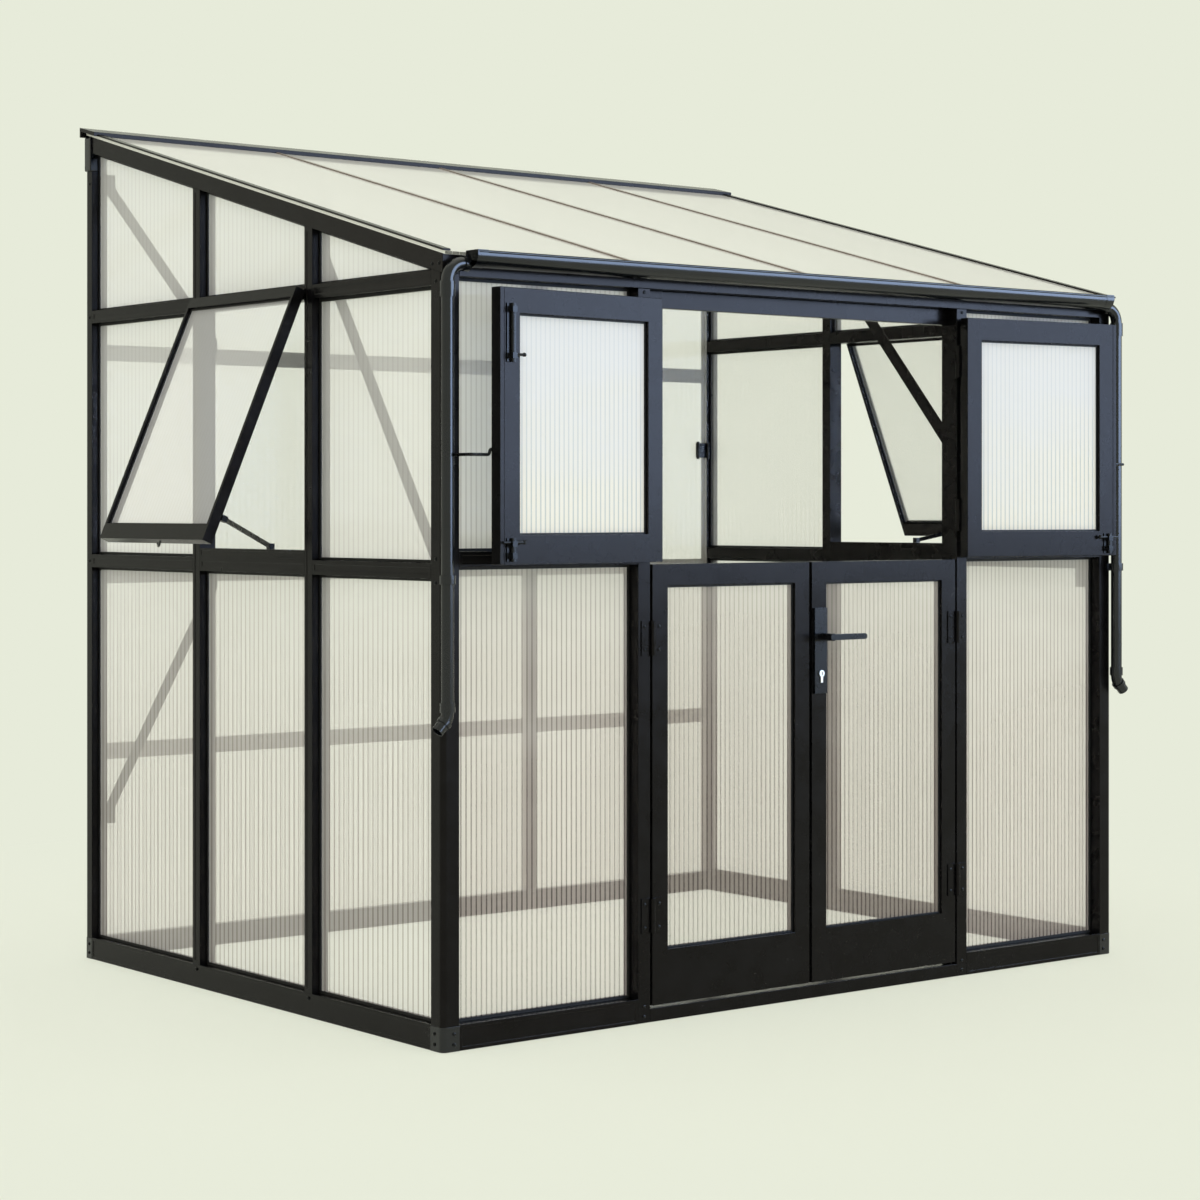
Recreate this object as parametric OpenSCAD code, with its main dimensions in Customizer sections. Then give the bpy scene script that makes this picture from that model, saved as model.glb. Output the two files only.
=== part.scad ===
// Lean-to greenhouse with a black aluminium frame and clear twin-wall sheets.
// It has double stable doors in front, a top-hung window in each side wall and a gutter with two downpipes.
// The front faces -Y and the tall back wall faces +Y.
// The origin is on the ground, in the middle of all that the open greenhouse covers.

/* [Frame] */
// Width over the corner posts
frame_w = 2430; // [2300:10:2700]
// Depth over the front and back walls
frame_d = 1820; // [1700:10:2100]
// Height of the rafters' top edge at the front face
eaves_h = 1944; // [1920:2:2040]
// Slope of the roof in degrees
roof_pitch = 14.8; // [11:0.1:18]
// Depth of the wall profiles, and width of the corner posts
profile_d = 50; // [46:1:60]
// Depth of the back wall's profiles
back_d = 30; // [24:1:40]
// Radius of the front posts' outer edge
post_round = 14; // [6:1:20]
// Height of the base rails
base_h = 63; // [50:1:90]
// Width of the mullions in the side and back walls
mullion_w = 38; // [32:1:50]
// Clear width of each of the two front bays in the side walls
side_bay_w = 538; // [480:1:560]
// Height of the mid rails in the front and side walls
mid_rail_h = 38; // [30:1:50]
// Height of the side walls' mid rails above the ground
side_mid_z = 1152; // [1100:2:1180]
// Height of the front mid rails above the ground
front_mid_z = 1180; // [1100:2:1250]
// Height of the side walls' upper rails
upper_rail_h = 37; // [30:1:44]
// Room between the upper rails and the rafters at the corner posts
upper_rail_room = 4; // [3:1:12]
// Height of the gable rafters
rafter_h = 48; // [40:1:60]
// Height of the eaves beam at the front face
eaves_beam_h = 54; // [44:1:80]
// Height of the back wall's rails
back_rail_h = 47; // [36:1:56]
// Height of the back wall's lowest rail, at its middle
back_rail_low_z = 607; // [500:1:700]
// Height of the back wall's second rail, at its middle
back_rail_mid_z = 1127; // [1000:1:1250]
// Height of the back wall's third rail, at its middle
back_rail_high_z = 1785; // [1700:1:1900]
// Height of the beam under the ridge
ridge_beam_h = 60; // [50:1:90]
// Height of the plastic caps on the back posts
post_cap_h = 100; // [60:1:140]
// How far a post cap stands out from the post
post_cap_lip = 6; // [3:1:10]

/* [Glazing] */
// Thickness of the twin-wall sheets
sheet_t = 8; // [6:0.5:10]
// Room between a sheet and the profile that holds it
fit = 0.3; // [0.2:0.05:0.5]
// Depth of the front sheets behind the outer face
front_recess = 38; // [20:1:39]
// Depth of the side sheets behind the outer face
side_recess = 25; // [12:1:36]

/* [Roof] */
// Width of the bars between the roof sheets
roof_bar_w = 30; // [24:1:40]
// Height of the roof bars below the sheets
roof_bar_h = 40; // [30:1:60]
// How far the outer roof bars stand outside the jambs' outer face, at their middle
roof_bar_out = 5.5; // [0:0.5:12]
// Width of the web between two roof sheets
roof_web_w = 8; // [5:1:12]
// Width of the strips that cover the joints
roof_strip_w = 12; // [10:1:30]
// Thickness of the cover strips
roof_strip_t = 3; // [2:0.5:6]
// How far the roof sheets reach past the front face
eaves_over = 12; // [6:1:14]
// How far the roof sheets reach past the side walls
sheet_over = 2; // [1:0.5:6]
// How far the edge trims reach past the side walls
trim_over = 8; // [6:1:20]
// How far the edge trims reach inwards over the sheets
trim_in = 16; // [8:1:30]
// Thickness of the edge trims
trim_t = 5; // [3:0.5:8]
// Width of the ridge flashing on the roof
flashing_w = 80; // [60:1:110]
// Thickness of the ridge flashing
flashing_t = 12; // [8:1:20]
// How far the flashing reaches past the side walls
flashing_over = 20; // [10:1:40]
// Thickness of the flashing's lip behind the roof
flashing_lip = 8; // [6:1:14]

/* [Doors] */
// Width of the doorway between the jambs
door_w = 1124; // [1000:2:1200]
// Width of the door jambs
jamb_w = 40; // [34:1:50]
// Depth of the door jambs
jamb_d = 60; // [52:1:80]
// Height of the door threshold
threshold_h = 35; // [20:1:45]
// Height of the door header
header_h = 45; // [35:1:60]
// How far the upper leaves lap over the header
header_lap = 17; // [10:1:25]
// Height of the lower leaves' top edge
leaf_split_z = 1180; // [1100:2:1240]
// Gap around a door leaf
door_gap = 7; // [6:0.5:10]
// Gap between the two leaves of a pair
meet_gap = 9; // [8:0.5:12]
// Thickness of the door leaves
leaf_t = 32; // [26:1:34]
// Width of the leaves' stiles
stile_w = 53; // [48:1:62]
// Height of the lower leaves' top rail
lower_top_h = 57; // [45:1:70]
// Height of the lower leaves' bottom rail
lower_bottom_h = 142; // [80:1:180]
// Height of the upper leaves' top rail
upper_top_h = 63; // [45:1:75]
// Height of the upper leaves' bottom rail
upper_bottom_h = 72; // [60:1:90]
// Angle at which the upper leaves stand open
upper_open = 174; // [170:0.5:176]

/* [Hinges] */
// Height of a hinge
hinge_h = 90; // [70:1:110]
// Reach of a hinge plate from the pin
hinge_plate_w = 34; // [26:1:38]
// Thickness of the hinge plates
hinge_plate_t = 3; // [2:0.5:4]
// Distance of the hinge pins in front of the door's face
pin_out = 7; // [6.5:0.25:9]
// Radius of the hinge knuckles
knuckle_r = 6.5; // [5.5:0.25:6.5]
// Radius of the hinge pins
pin_r = 3; // [2:0.25:4]
// Height of the lower leaves' lower hinges, at their middle
lower_hinge_low_z = 275; // [200:1:400]
// Height of the lower leaves' upper hinges, at their middle
lower_hinge_high_z = 990; // [800:1:1050]
// Distance of the upper leaves' lower hinges from the leaf's lower edge, at their middle
upper_hinge_up = 119; // [100:1:200]
// Distance of the upper leaves' upper hinges from the leaf's upper edge, at their middle
upper_hinge_down = 122; // [100:1:200]

/* [Lock] */
// Width of the lock plates
lock_plate_w = 45; // [36:1:48]
// Height of the lock plates
lock_plate_h = 232; // [180:1:260]
// Thickness of the lock plates
lock_plate_t = 8; // [4:0.5:10]
// Height of the lock plates' lower edge above the ground
lock_plate_z = 823; // [780:1:860]
// Height of the lever above the ground
lever_z = 977; // [940:1:1000]
// Length of the lever from its spindle
lever_l = 125; // [100:1:150]
// How far the lever stands off its plate
lever_stand = 50; // [40:1:60]
// Height of the lever's grip
lever_h = 16; // [12:1:22]
// Thickness of the lever's grip
lever_t = 13; // [10:1:18]
// Radius of the lever's neck
lever_neck_r = 10; // [8:0.5:13]
// Radius of the lever's spindle
spindle_r = 5; // [4:0.5:6]
// Height of the lock cylinder above the ground
cylinder_z = 877; // [860:1:900]
// Radius of the lock cylinder
cylinder_r = 9; // [7:0.5:11]
// How far the lock cylinder stands out of its plates
cylinder_out = 4; // [2:0.5:8]

/* [Bolts and hooks] */
// Width of the slide bolts' plates
bolt_plate_w = 30; // [22:1:36]
// Height of the short slide bolts' plates
bolt_plate_h = 58; // [44:1:60]
// Height of the long slide bolt's plate
long_bolt_h = 143; // [120:1:200]
// Distance of the long slide bolt from the upper edge of its leaf
long_bolt_down = 39; // [10:1:80]
// Thickness of the bolt plates
bolt_plate_t = 3; // [2:0.5:5]
// Radius of the slide bolts' rods
bolt_rod_r = 5; // [4:0.5:7]
// How far a bolt's rod lies in the groove of its plate
bolt_groove = 1; // [0.5:0.25:2]
// Distance of a bolt from the edges of its leaf
bolt_margin = 7; // [6:1:12]
// Height of the hooks above the upper leaves' lower edge
hook_up = 263; // [150:1:400]
// Width and thickness of the hooks
hook_w = 9; // [6:1:12]
// Distance of a hook from the outer edge of its post
hook_in = 30; // [22:1:40]

/* [Windows] */
// Angle at which the windows stand open
window_open = 23; // [15:0.5:30]
// How far a shut sash would lap over the mid rail below it
sash_lap = 14; // [4:1:20]
// How far a shut sash would lap over the mullions beside it
sash_side_lap = 4; // [2:1:10]
// How far a sash has slipped forwards along its hinge
sash_shift = 12; // [0:1:20]
// Thickness of a window sash
sash_t = 30; // [20:1:36]
// Width of a sash's upright bars
sash_bar_w = 10; // [8:1:24]
// Height of a sash's top bar
sash_top_h = 30; // [22:1:40]
// Height of a sash's bottom bar
sash_bottom_h = 44; // [30:1:56]
// Radius of the round hinge edge on top of a sash
sash_hinge_r = 6; // [4:0.5:8]
// Height of a sash's hinge above the upper rail's lower edge
sash_hinge_up = 22; // [9:1:26]
// Height of the sills under the windows
sill_h = 25; // [15:1:35]
// Height of the window stays
stay_h = 12; // [8:1:16]
// Thickness of the window stays
stay_t = 6; // [4:1:10]
// Distance of a stay's stud from the lower edge of its sash
stay_up = 74; // [50:1:120]
// Distance of a stay's foot behind the front edge of its sash
stay_back = 196; // [120:1:260]
// Size of the stud and the foot that seat a stay
stay_seat = 16; // [12:1:22]

/* [Gutter and downpipes] */
// Width of the gutter
gutter_w = 65; // [56:1:80]
// Depth of the gutter
gutter_h = 42; // [40:1:60]
// Thickness of the gutter's wall
gutter_wall = 3; // [2:0.5:4]
// Thickness of the gutter's end plates
gutter_end_t = 5; // [3:0.5:8]
// Height of the gutter's rim above the eaves
gutter_rise = 8; // [4:1:14]
// Room between the gutter and the edge of the roof sheets
gutter_room = 2; // [1:0.5:6]
// Radius of the downpipes
pipe_r = 16; // [12:0.5:18]
// Thickness of the downpipes' wall at the outlet
pipe_wall = 2.5; // [1.5:0.5:4]
// Radius of the pipe couplings
coupling_r = 19; // [18.5:0.5:20.5]
// Length of the pipe couplings
coupling_l = 38; // [24:1:50]
// Length of the rim where an outlet's straight end begins
rim_l = 12; // [8:1:16]
// Distance of the downpipes in front of the front face
pipe_out = 21; // [20.5:0.5:30]
// Radius of the pipe bends, at the middle of the pipe
bend_r = 45; // [30:1:55]
// Length of the collar between gutter and elbow
collar_l = 16; // [8:1:30]
// Height at which the downpipes turn outwards
outlet_z = 829; // [400:1:900]
// Radius of the bends at the outlets, at the middle of the pipe
outlet_bend_r = 36; // [32:1:50]
// Length of the couplings above the outlets
outlet_coupling_l = 24; // [20:1:40]
// Angle of the outlets
outlet_angle = 45; // [30:1:60]
// Length of the straight end of the outlets
outlet_l = 28; // [24:1:80]
// Depth of the open bore in the outlets
outlet_bore_l = 20; // [16:1:36]
// Height of the pipe clips above the ground
clip_z = 1140; // [950:1:1700]
// Height of the pipe clips
clip_h = 22; // [14:1:30]
// Thickness of the pipe clips
clip_t = 4; // [3:0.5:4]
// Width of the tabs that seat the pipe clips on the posts
clip_tab_w = 14; // [10:1:20]

/* [Braces] */
// Width of the braces in the side walls
brace_w = 36; // [28:1:44]
// Thickness of the braces
brace_t = 6; // [4:0.5:8]
// Length of the braces' feet along the wall
foot_l = 40; // [30:1:60]
// Height of the braces' feet
foot_h = 60; // [50:1:80]
// Height of the front braces at the corner posts
front_brace_low_z = 1120; // [1000:1:1250]
// How far the front braces' upper end lies below the roof at the mullions
front_brace_drop = 106; // [100:1:200]
// How far the upper back brace's lower end lies below the side wall's upper rail
upper_brace_low = 100; // [50:1:250]
// How far the upper back brace's upper end lies below the roof at the back post
upper_brace_drop = 143; // [130:1:250]
// Height of the lower back brace at the back post
lower_brace_low_z = 430; // [300:1:550]
// Height of the lower back brace at the mullion
lower_brace_high_z = 1130; // [1000:1:1200]
// How far the knee braces' lower edge on the jambs lies below the eaves beam
knee_drop = 412; // [300:1:600]
// Length of a knee brace's seat on its jamb and on its roof bar
knee_seat = 56; // [40:1:70]
// Reach of the knee braces along the roof bars
knee_reach = 440; // [300:5:600]

/* [Hidden] */
// Number of bays in each side wall and in the back wall
bays = 3;
// Bay of the side walls that holds the window, counted from 0 at the front
window_bay = 1;
// Number of sheets on the roof, with two over the door
roof_sheets = 4;
// Number of flat sections that stand for a circle in a view
$fn = 48;

leaf_w = (door_w - 2 * door_gap - meet_gap) / 2;
pin_x = door_w / 2 - door_gap / 2;
leaf_edge = door_gap / 2;
leaf_back = pin_out + leaf_t;
bolt_guide = 3 * bolt_rod_r;
bolt_depth = bolt_plate_t + 2 * bolt_rod_r + bolt_plate_t;
bolt_x = leaf_edge + leaf_w - bolt_margin - bolt_plate_w;
bolt_reach_x = bolt_x + (bolt_plate_w + bolt_guide) / 2;
front_reach = pin_out + bolt_reach_x * sin(upper_open) - (leaf_back + bolt_depth) * cos(upper_open);

half_w = frame_w / 2;
front_y = (front_reach - frame_d - flashing_lip) / 2;
back_y = front_y + frame_d;
back_in_y = back_y - back_d;
side_x = -half_w;
side_in_x = side_x + profile_d;
jamb_out_x = -door_w / 2 - jamb_w;

eaves_beam_z = eaves_h - eaves_beam_h;
header_z = eaves_beam_z - header_h;
upper_rail_z = roof_z(front_y + profile_d) - rafter_h - upper_rail_room - upper_rail_h;
sheet_low = fit / cos(roof_pitch);
sheet_high = sheet_low + sheet_t / cos(roof_pitch);
cover_low = sheet_high + sheet_low;
strip_v = roof_strip_t / cos(roof_pitch);
trim_v = trim_t / cos(roof_pitch);
flashing_v = flashing_t / cos(roof_pitch);
ridge_top = roof_z(back_in_y);
ridge_beam_z = ridge_top - ridge_beam_h;
post_cap_z = ridge_top - post_cap_h;

lower_z = threshold_h + door_gap;
lower_h = leaf_split_z - lower_z;
upper_z = leaf_split_z + door_gap;
upper_h = header_z + header_lap - upper_z;
header_front = leaf_t + door_gap;
lock_x = leaf_edge + leaf_w - stile_w / 2;
knuckle_room = 0.8;
knuckle_h = hinge_h / 3;

sash_pivot_x = side_x - sash_hinge_r - fit;
sash_pivot_z = upper_rail_z + sash_hinge_up;
sash_h = sash_pivot_z - side_mid_z - mid_rail_h + sash_lap;
sash_y0 = bay_front(window_bay) - sash_side_lap - sash_shift;
sash_y1 = bay_back(window_bay) + sash_side_lap - sash_shift;

gutter_r = gutter_w / 2;
gutter_top = eaves_h + gutter_rise;
gutter_end_x = side_x + bend_r + collar_l;
pipe_y = front_y - pipe_out;
elbow_z = eaves_h - eaves_over * tan(roof_pitch) - gutter_room - coupling_r;

FRAME = "#24272a";
SHEET = "#dfe8e2";
PLASTIC = "#191b1d";
STEEL = "#b8bcbe";

// Height of the rafters' top edge at a place along the depth
function roof_z(y) = eaves_h + (y - front_y) * tan(roof_pitch);

// Front edge of a side mullion
function mullion_y(k) = front_y + profile_d + k * side_bay_w + (k - 1) * mullion_w;

// Clear span of a bay in the side walls
function bay_front(k) = k == 0 ? front_y + profile_d : mullion_y(k) + mullion_w;
function bay_back(k) = k == bays - 1 ? back_in_y : mullion_y(k + 1);

// Left edge of a mullion, and clear span of a bay, in the back wall
function back_mullion_x(k) = side_x + k * frame_w / bays - mullion_w / 2;
function back_bay_left(k) = k == 0 ? side_in_x : back_mullion_x(k) + mullion_w;
function back_bay_right(k) = k == bays - 1 ? -side_in_x : back_mullion_x(k + 1);

// Middle of the joint between two roof sheets: over the left jamb, the door's middle and the right jamb
function roof_joint_x(k) = (2 - k) * (jamb_out_x - roof_bar_out);

// A block between two corners
module block(low, high) {
    translate(low) cube(high - low);
}

// An outline in Y and Z, drawn out along X
module yz_prism(x0, x1, points) {
    translate([x0, 0, 0]) rotate([90, 0, 90]) linear_extrude(x1 - x0) polygon(points);
}

// An outline in X and Z, drawn out along Y
module xz_prism(y0, y1, points) {
    translate([0, y1, 0]) rotate([90, 0, 0]) linear_extrude(y1 - y0) polygon(points);
}

// A bar that follows the roof's slope, between two offsets from the rafters' top edge
module sloped_bar(x0, x1, y0, y1, low, high) {
    yz_prism(x0, x1, [
        [y0, roof_z(y0) + low], [y1, roof_z(y1) + low],
        [y1, roof_z(y1) + high], [y0, roof_z(y0) + high]
    ]);
}

// An upright piece that ends under the slope of the rafters
module under_rafter(x0, x1, y0, y1, z0, room) {
    yz_prism(x0, x1, [
        [y0, z0], [y1, z0],
        [y1, roof_z(y1) - rafter_h - room], [y0, roof_z(y0) - rafter_h - room]
    ]);
}

// What is drawn at the left, put on the given side: -1 left, 1 right
module on_side(side) {
    mirror([side > 0 ? 1 : 0, 0, 0]) children();
}

// What is drawn at the left, on both sides
module both_sides() {
    for (side = [-1, 1]) on_side(side) children();
}

module front_base_rails() {
    color(FRAME) both_sides()
        block([side_in_x, front_y, 0], [jamb_out_x, front_y + profile_d, base_h]);
}

module door_threshold() {
    color(FRAME) block([-door_w / 2, front_y, 0], [door_w / 2, front_y + profile_d, threshold_h]);
}

module side_base_rails() {
    color(FRAME) both_sides()
        block([side_x, front_y + profile_d, 0], [side_in_x, back_in_y, base_h]);
}

module back_base_rail() {
    color(FRAME) block([side_in_x, back_in_y, 0], [-side_in_x, back_y, base_h]);
}

// Section of a front corner post, with its outer edge rounded
module post_section() {
    translate([post_round, 0]) square([profile_d - post_round, profile_d]);
    translate([0, post_round]) square([profile_d, profile_d - post_round]);
    translate([post_round, post_round]) circle(post_round);
}

module front_posts() {
    post_back = front_y + profile_d;
    color(FRAME) both_sides() intersection() {
        translate([side_x, front_y, 0]) linear_extrude(eaves_h) post_section();
        under_rafter(side_x - 1, side_in_x + 1, front_y - 1, post_back + 1, -1, 0);
    }
}

module back_posts() {
    color(FRAME) both_sides() block([side_x, back_in_y, 0], [side_in_x, back_y, post_cap_z]);
}

module back_post_caps() {
    color(PLASTIC) both_sides()
        block([side_x - post_cap_lip, back_in_y, post_cap_z],
              [side_in_x, back_y + post_cap_lip, ridge_top]);
}

module door_jambs() {
    color(FRAME) both_sides()
        block([jamb_out_x, front_y, 0], [-door_w / 2, front_y + jamb_d, eaves_beam_z]);
}

module front_mid_rails() {
    color(FRAME) both_sides()
        block([side_in_x, front_y, front_mid_z],
              [jamb_out_x, front_y + profile_d, front_mid_z + mid_rail_h]);
}

module eaves_beam() {
    beam_back = front_y + profile_d;
    color(FRAME) yz_prism(side_in_x, -side_in_x, [
        [front_y, eaves_beam_z], [beam_back, eaves_beam_z],
        [beam_back, roof_z(beam_back)], [front_y, eaves_h]
    ]);
}

module door_header() {
    color(FRAME)
        block([-door_w / 2, front_y + header_front, header_z],
              [door_w / 2, front_y + jamb_d, eaves_beam_z]);
}

module wall_mullions(side) {
    color(FRAME) on_side(side) for (k = [1 : bays - 1])
        under_rafter(side_x, side_in_x, mullion_y(k), mullion_y(k) + mullion_w, base_h, 0);
}

module wall_rails(side) {
    color(FRAME) on_side(side) for (k = [0 : bays - 1]) {
        block([side_x, bay_front(k), side_mid_z], [side_in_x, bay_back(k), side_mid_z + mid_rail_h]);
        block([side_x, bay_front(k), upper_rail_z],
              [side_in_x, bay_back(k), upper_rail_z + upper_rail_h]);
    }
}

module gable_rafters() {
    color(FRAME) both_sides() sloped_bar(side_x, side_in_x, front_y, back_in_y, -rafter_h, 0);
}

module roof_bars() {
    beam_back = front_y + profile_d;
    eaves_y = front_y - eaves_over;
    color(FRAME) for (k = [1 : roof_sheets - 1]) translate([roof_joint_x(k), 0, 0]) {
        sloped_bar(-roof_bar_w / 2, roof_bar_w / 2, beam_back, back_in_y, -roof_bar_h, sheet_low / 2);
        sloped_bar(-roof_web_w / 2, roof_web_w / 2, eaves_y, back_y - fit, 0, cover_low);
        sloped_bar(-roof_strip_w / 2, roof_strip_w / 2, eaves_y, back_y - flashing_w,
                   cover_low, cover_low + strip_v);
    }
}

module roof_edge_trims() {
    color(FRAME) both_sides()
        sloped_bar(side_x - trim_over, side_x + trim_in, front_y - eaves_over, back_y - flashing_w,
                   cover_low, cover_low + trim_v);
}

module ridge_beam() {
    color(FRAME) yz_prism(side_in_x, -side_in_x, [
        [back_in_y, ridge_beam_z], [back_y, ridge_beam_z],
        [back_y, roof_z(back_y)], [back_in_y, ridge_top]
    ]);
}

module ridge_flashing() {
    flashing_y = back_y - flashing_w;
    lip_y = back_y + flashing_lip;
    low = cover_low;
    high = cover_low + flashing_v;
    color(FRAME) yz_prism(side_x - flashing_over, half_w + flashing_over, [
        [flashing_y, roof_z(flashing_y) + low], [back_y, roof_z(back_y) + low],
        [back_y, ridge_top], [lip_y, ridge_top],
        [lip_y, roof_z(back_y) + high], [flashing_y, roof_z(flashing_y) + high]
    ]);
}

module back_wall_mullions() {
    color(FRAME) for (k = [1 : bays - 1])
        block([back_mullion_x(k), back_in_y, base_h],
              [back_mullion_x(k) + mullion_w, back_y, ridge_beam_z]);
}

// The back wall's rails run behind its sheets
module back_wall_rails() {
    rail_y = back_in_y + sheet_t + 2 * fit;
    color(FRAME) for (k = [0 : bays - 1], z = [back_rail_low_z, back_rail_mid_z, back_rail_high_z])
        block([back_bay_left(k), rail_y, z - back_rail_h / 2],
              [back_bay_right(k), back_y, z + back_rail_h / 2]);
}

// A flat brace on the inside of a side wall, with upright ends, between two points at its middle
module wall_brace(y0, z0, y1, z1) {
    half = brace_w / 2 * norm([y1 - y0, z1 - z0]) / (y1 - y0);
    yz_prism(side_in_x, side_in_x + brace_t, [
        [y0, z0 - half], [y1, z1 - half], [y1, z1 + half], [y0, z0 + half]
    ]);
}

// The foot that seats a brace on the face of a post, with its lowest corner along the wall given
module brace_foot(y, z) {
    sheet_in_x = side_x + side_recess + sheet_t + fit;
    block([sheet_in_x, y, z - foot_h / 2], [side_in_x + brace_t, y + foot_l, z + foot_h / 2]);
}

module wind_braces() {
    post_y = front_y + profile_d;
    mullion_1 = mullion_y(1) + mullion_w;
    mullion_2 = mullion_y(2);
    upper_brace_z = ridge_top - upper_brace_drop;
    color(FRAME) {
        both_sides() {
            wall_brace(post_y, front_brace_low_z, mullion_1, roof_z(mullion_1) - front_brace_drop);
            brace_foot(post_y, front_brace_low_z);
        }
        wall_brace(mullion_2, upper_rail_z - upper_brace_low, back_in_y, upper_brace_z);
        brace_foot(back_in_y - foot_l, upper_brace_z);
        wall_brace(mullion_2, lower_brace_high_z, back_in_y, lower_brace_low_z);
        brace_foot(back_in_y - foot_l, lower_brace_low_z);
    }
}

module knee_braces() {
    foot_y = front_y + jamb_d;
    head_y = foot_y + knee_reach;
    head_back = head_y + knee_seat;
    knee_x = roof_joint_x(1) + roof_bar_w / 2;
    knee_z = eaves_beam_z - knee_drop;
    color(FRAME) both_sides() yz_prism(knee_x - brace_t, knee_x, [
        [foot_y, knee_z], [foot_y, knee_z + knee_seat],
        [head_y, roof_z(head_y) - roof_bar_h], [head_back, roof_z(head_back) - roof_bar_h]
    ]);
}

// A sheet in the front wall's left bay
module front_sheet(z0, z1) {
    face_y = front_y + front_recess;
    block([side_in_x + fit, face_y, z0 + fit], [jamb_out_x - fit, face_y + sheet_t, z1 - fit]);
}

module front_wall_panels() {
    color(SHEET) both_sides() {
        front_sheet(base_h, front_mid_z);
        front_sheet(front_mid_z + mid_rail_h, eaves_beam_z);
    }
}

module wall_panels(side) {
    face_x = side_x + side_recess;
    back_x = face_x + sheet_t;
    rail_top = upper_rail_z + upper_rail_h;
    color(SHEET) on_side(side) for (k = [0 : bays - 1]) {
        y0 = bay_front(k) + fit;
        y1 = bay_back(k) - fit;
        block([face_x, y0, base_h + fit], [back_x, y1, side_mid_z - fit]);
        if (k != window_bay)
            block([face_x, y0, side_mid_z + mid_rail_h + fit], [back_x, y1, upper_rail_z - fit]);
        under_rafter(face_x, back_x, y0, y1, rail_top + fit, fit);
    }
}

module back_wall_panels() {
    face_y = back_in_y + fit;
    color(SHEET) for (k = [0 : bays - 1])
        block([back_bay_left(k) + fit, face_y, base_h + fit],
              [back_bay_right(k) - fit, face_y + sheet_t, ridge_beam_z - fit]);
}

module roof_panels() {
    web = roof_web_w / 2 + fit;
    color(SHEET) for (k = [0 : roof_sheets - 1])
        sloped_bar(k == 0 ? side_x - sheet_over : roof_joint_x(k) + web,
                   k == roof_sheets - 1 ? half_w + sheet_over : roof_joint_x(k + 1) - web,
                   front_y - eaves_over, back_y - fit, sheet_low, sheet_high);
}

// The left window's own place: hinge line at the origin, sash hanging down and turned outwards
module at_window() {
    translate([sash_pivot_x, 0, sash_pivot_z]) rotate([0, window_open, 0]) children();
}

module window_sash(side) {
    color(FRAME) on_side(side) at_window() {
        difference() {
            block([-sash_t, sash_y0, -sash_h], [0, sash_y1, 0]);
            block([-sash_t - 1, sash_y0 + sash_bar_w, sash_bottom_h - sash_h],
                  [1, sash_y1 - sash_bar_w, -sash_top_h]);
        }
        translate([0, sash_y1, 0]) rotate([90, 0, 0]) cylinder(r = sash_hinge_r, h = sash_y1 - sash_y0);
    }
}

module window_panes() {
    edge = sash_bar_w + fit;
    color(SHEET) both_sides() at_window()
        block([-(sash_t + sheet_t) / 2, sash_y0 + edge, sash_bottom_h + fit - sash_h],
              [(sheet_t - sash_t) / 2, sash_y1 - edge, -sash_top_h - fit]);
}

module window_sills() {
    rail_top = side_mid_z + mid_rail_h;
    color(FRAME) both_sides()
        block([side_x, bay_front(window_bay), rail_top],
              [side_in_x, bay_back(window_bay), rail_top + sill_h]);
}

// A stay from a foot on the sill, slanting forwards and outwards to a stud on the sash's front bar
module window_stays() {
    half = stay_seat / 2;
    stud_down = sash_h - stay_up;
    foot = [side_x + half, sash_y0 + stay_back, side_mid_z + mid_rail_h + sill_h + half];
    stud = [sash_pivot_x + half * cos(window_open) - stud_down * sin(window_open),
            sash_y0 + sash_bar_w / 2,
            sash_pivot_z - half * sin(window_open) - stud_down * cos(window_open)];
    reach = stud - foot;
    plan = norm([reach[0], reach[1]]);
    color(FRAME) both_sides() {
        translate(foot) rotate([0, 0, atan2(reach[1], reach[0])]) rotate([0, -atan2(reach[2], plan), 0])
            translate([0, -stay_t / 2, -stay_h / 2]) cube([norm(reach), stay_t, stay_h]);
        translate(foot) translate([-half, -half, fit - half]) cube([stay_seat, stay_seat, stay_seat - fit]);
        at_window() translate([0, sash_y0 + sash_bar_w / 2, -stud_down])
            translate([fit, -half, -half]) cube([stay_seat - fit, stay_seat, stay_seat]);
    }
}

// Outline of the gutter: a half round with an upright rim above it
module gutter_outline(r, rim) {
    difference() {
        circle(r);
        translate([-r - 1, 0]) square([2 * r + 2, r + 1]);
    }
    translate([-r, 0]) square([2 * r, rim]);
}

// Section of the gutter, cut away at the back under the edge of the roof sheets
module gutter_section(rim) {
    sheet_edge = gutter_r - eaves_over - gutter_room;
    sheet_bottom = rim - gutter_rise - eaves_over * tan(roof_pitch) - gutter_room;
    difference() {
        gutter_outline(gutter_r, rim);
        translate([sheet_edge, sheet_bottom]) square(gutter_w);
    }
}

module gutter() {
    rim = gutter_h - gutter_r;
    end_x = gutter_end_x + gutter_end_t;
    color(PLASTIC) translate([0, front_y - gutter_r, gutter_top - rim]) {
        translate([end_x, 0, 0]) rotate([90, 0, 90]) linear_extrude(-2 * end_x) difference() {
            gutter_section(rim);
            gutter_outline(gutter_r - gutter_wall, rim + 1);
        }
        both_sides() translate([gutter_end_x, 0, 0]) rotate([90, 0, 90])
            linear_extrude(gutter_end_t) gutter_section(rim);
    }
}

// A pipe bend of the given radius in the plane of X and Z, from one angle through the given turn
module pipe_bend(radius, from, turn) {
    rotate([90, 0, 0]) rotate([0, 0, from]) rotate_extrude(angle = turn)
        translate([radius, 0]) circle(pipe_r);
}

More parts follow.
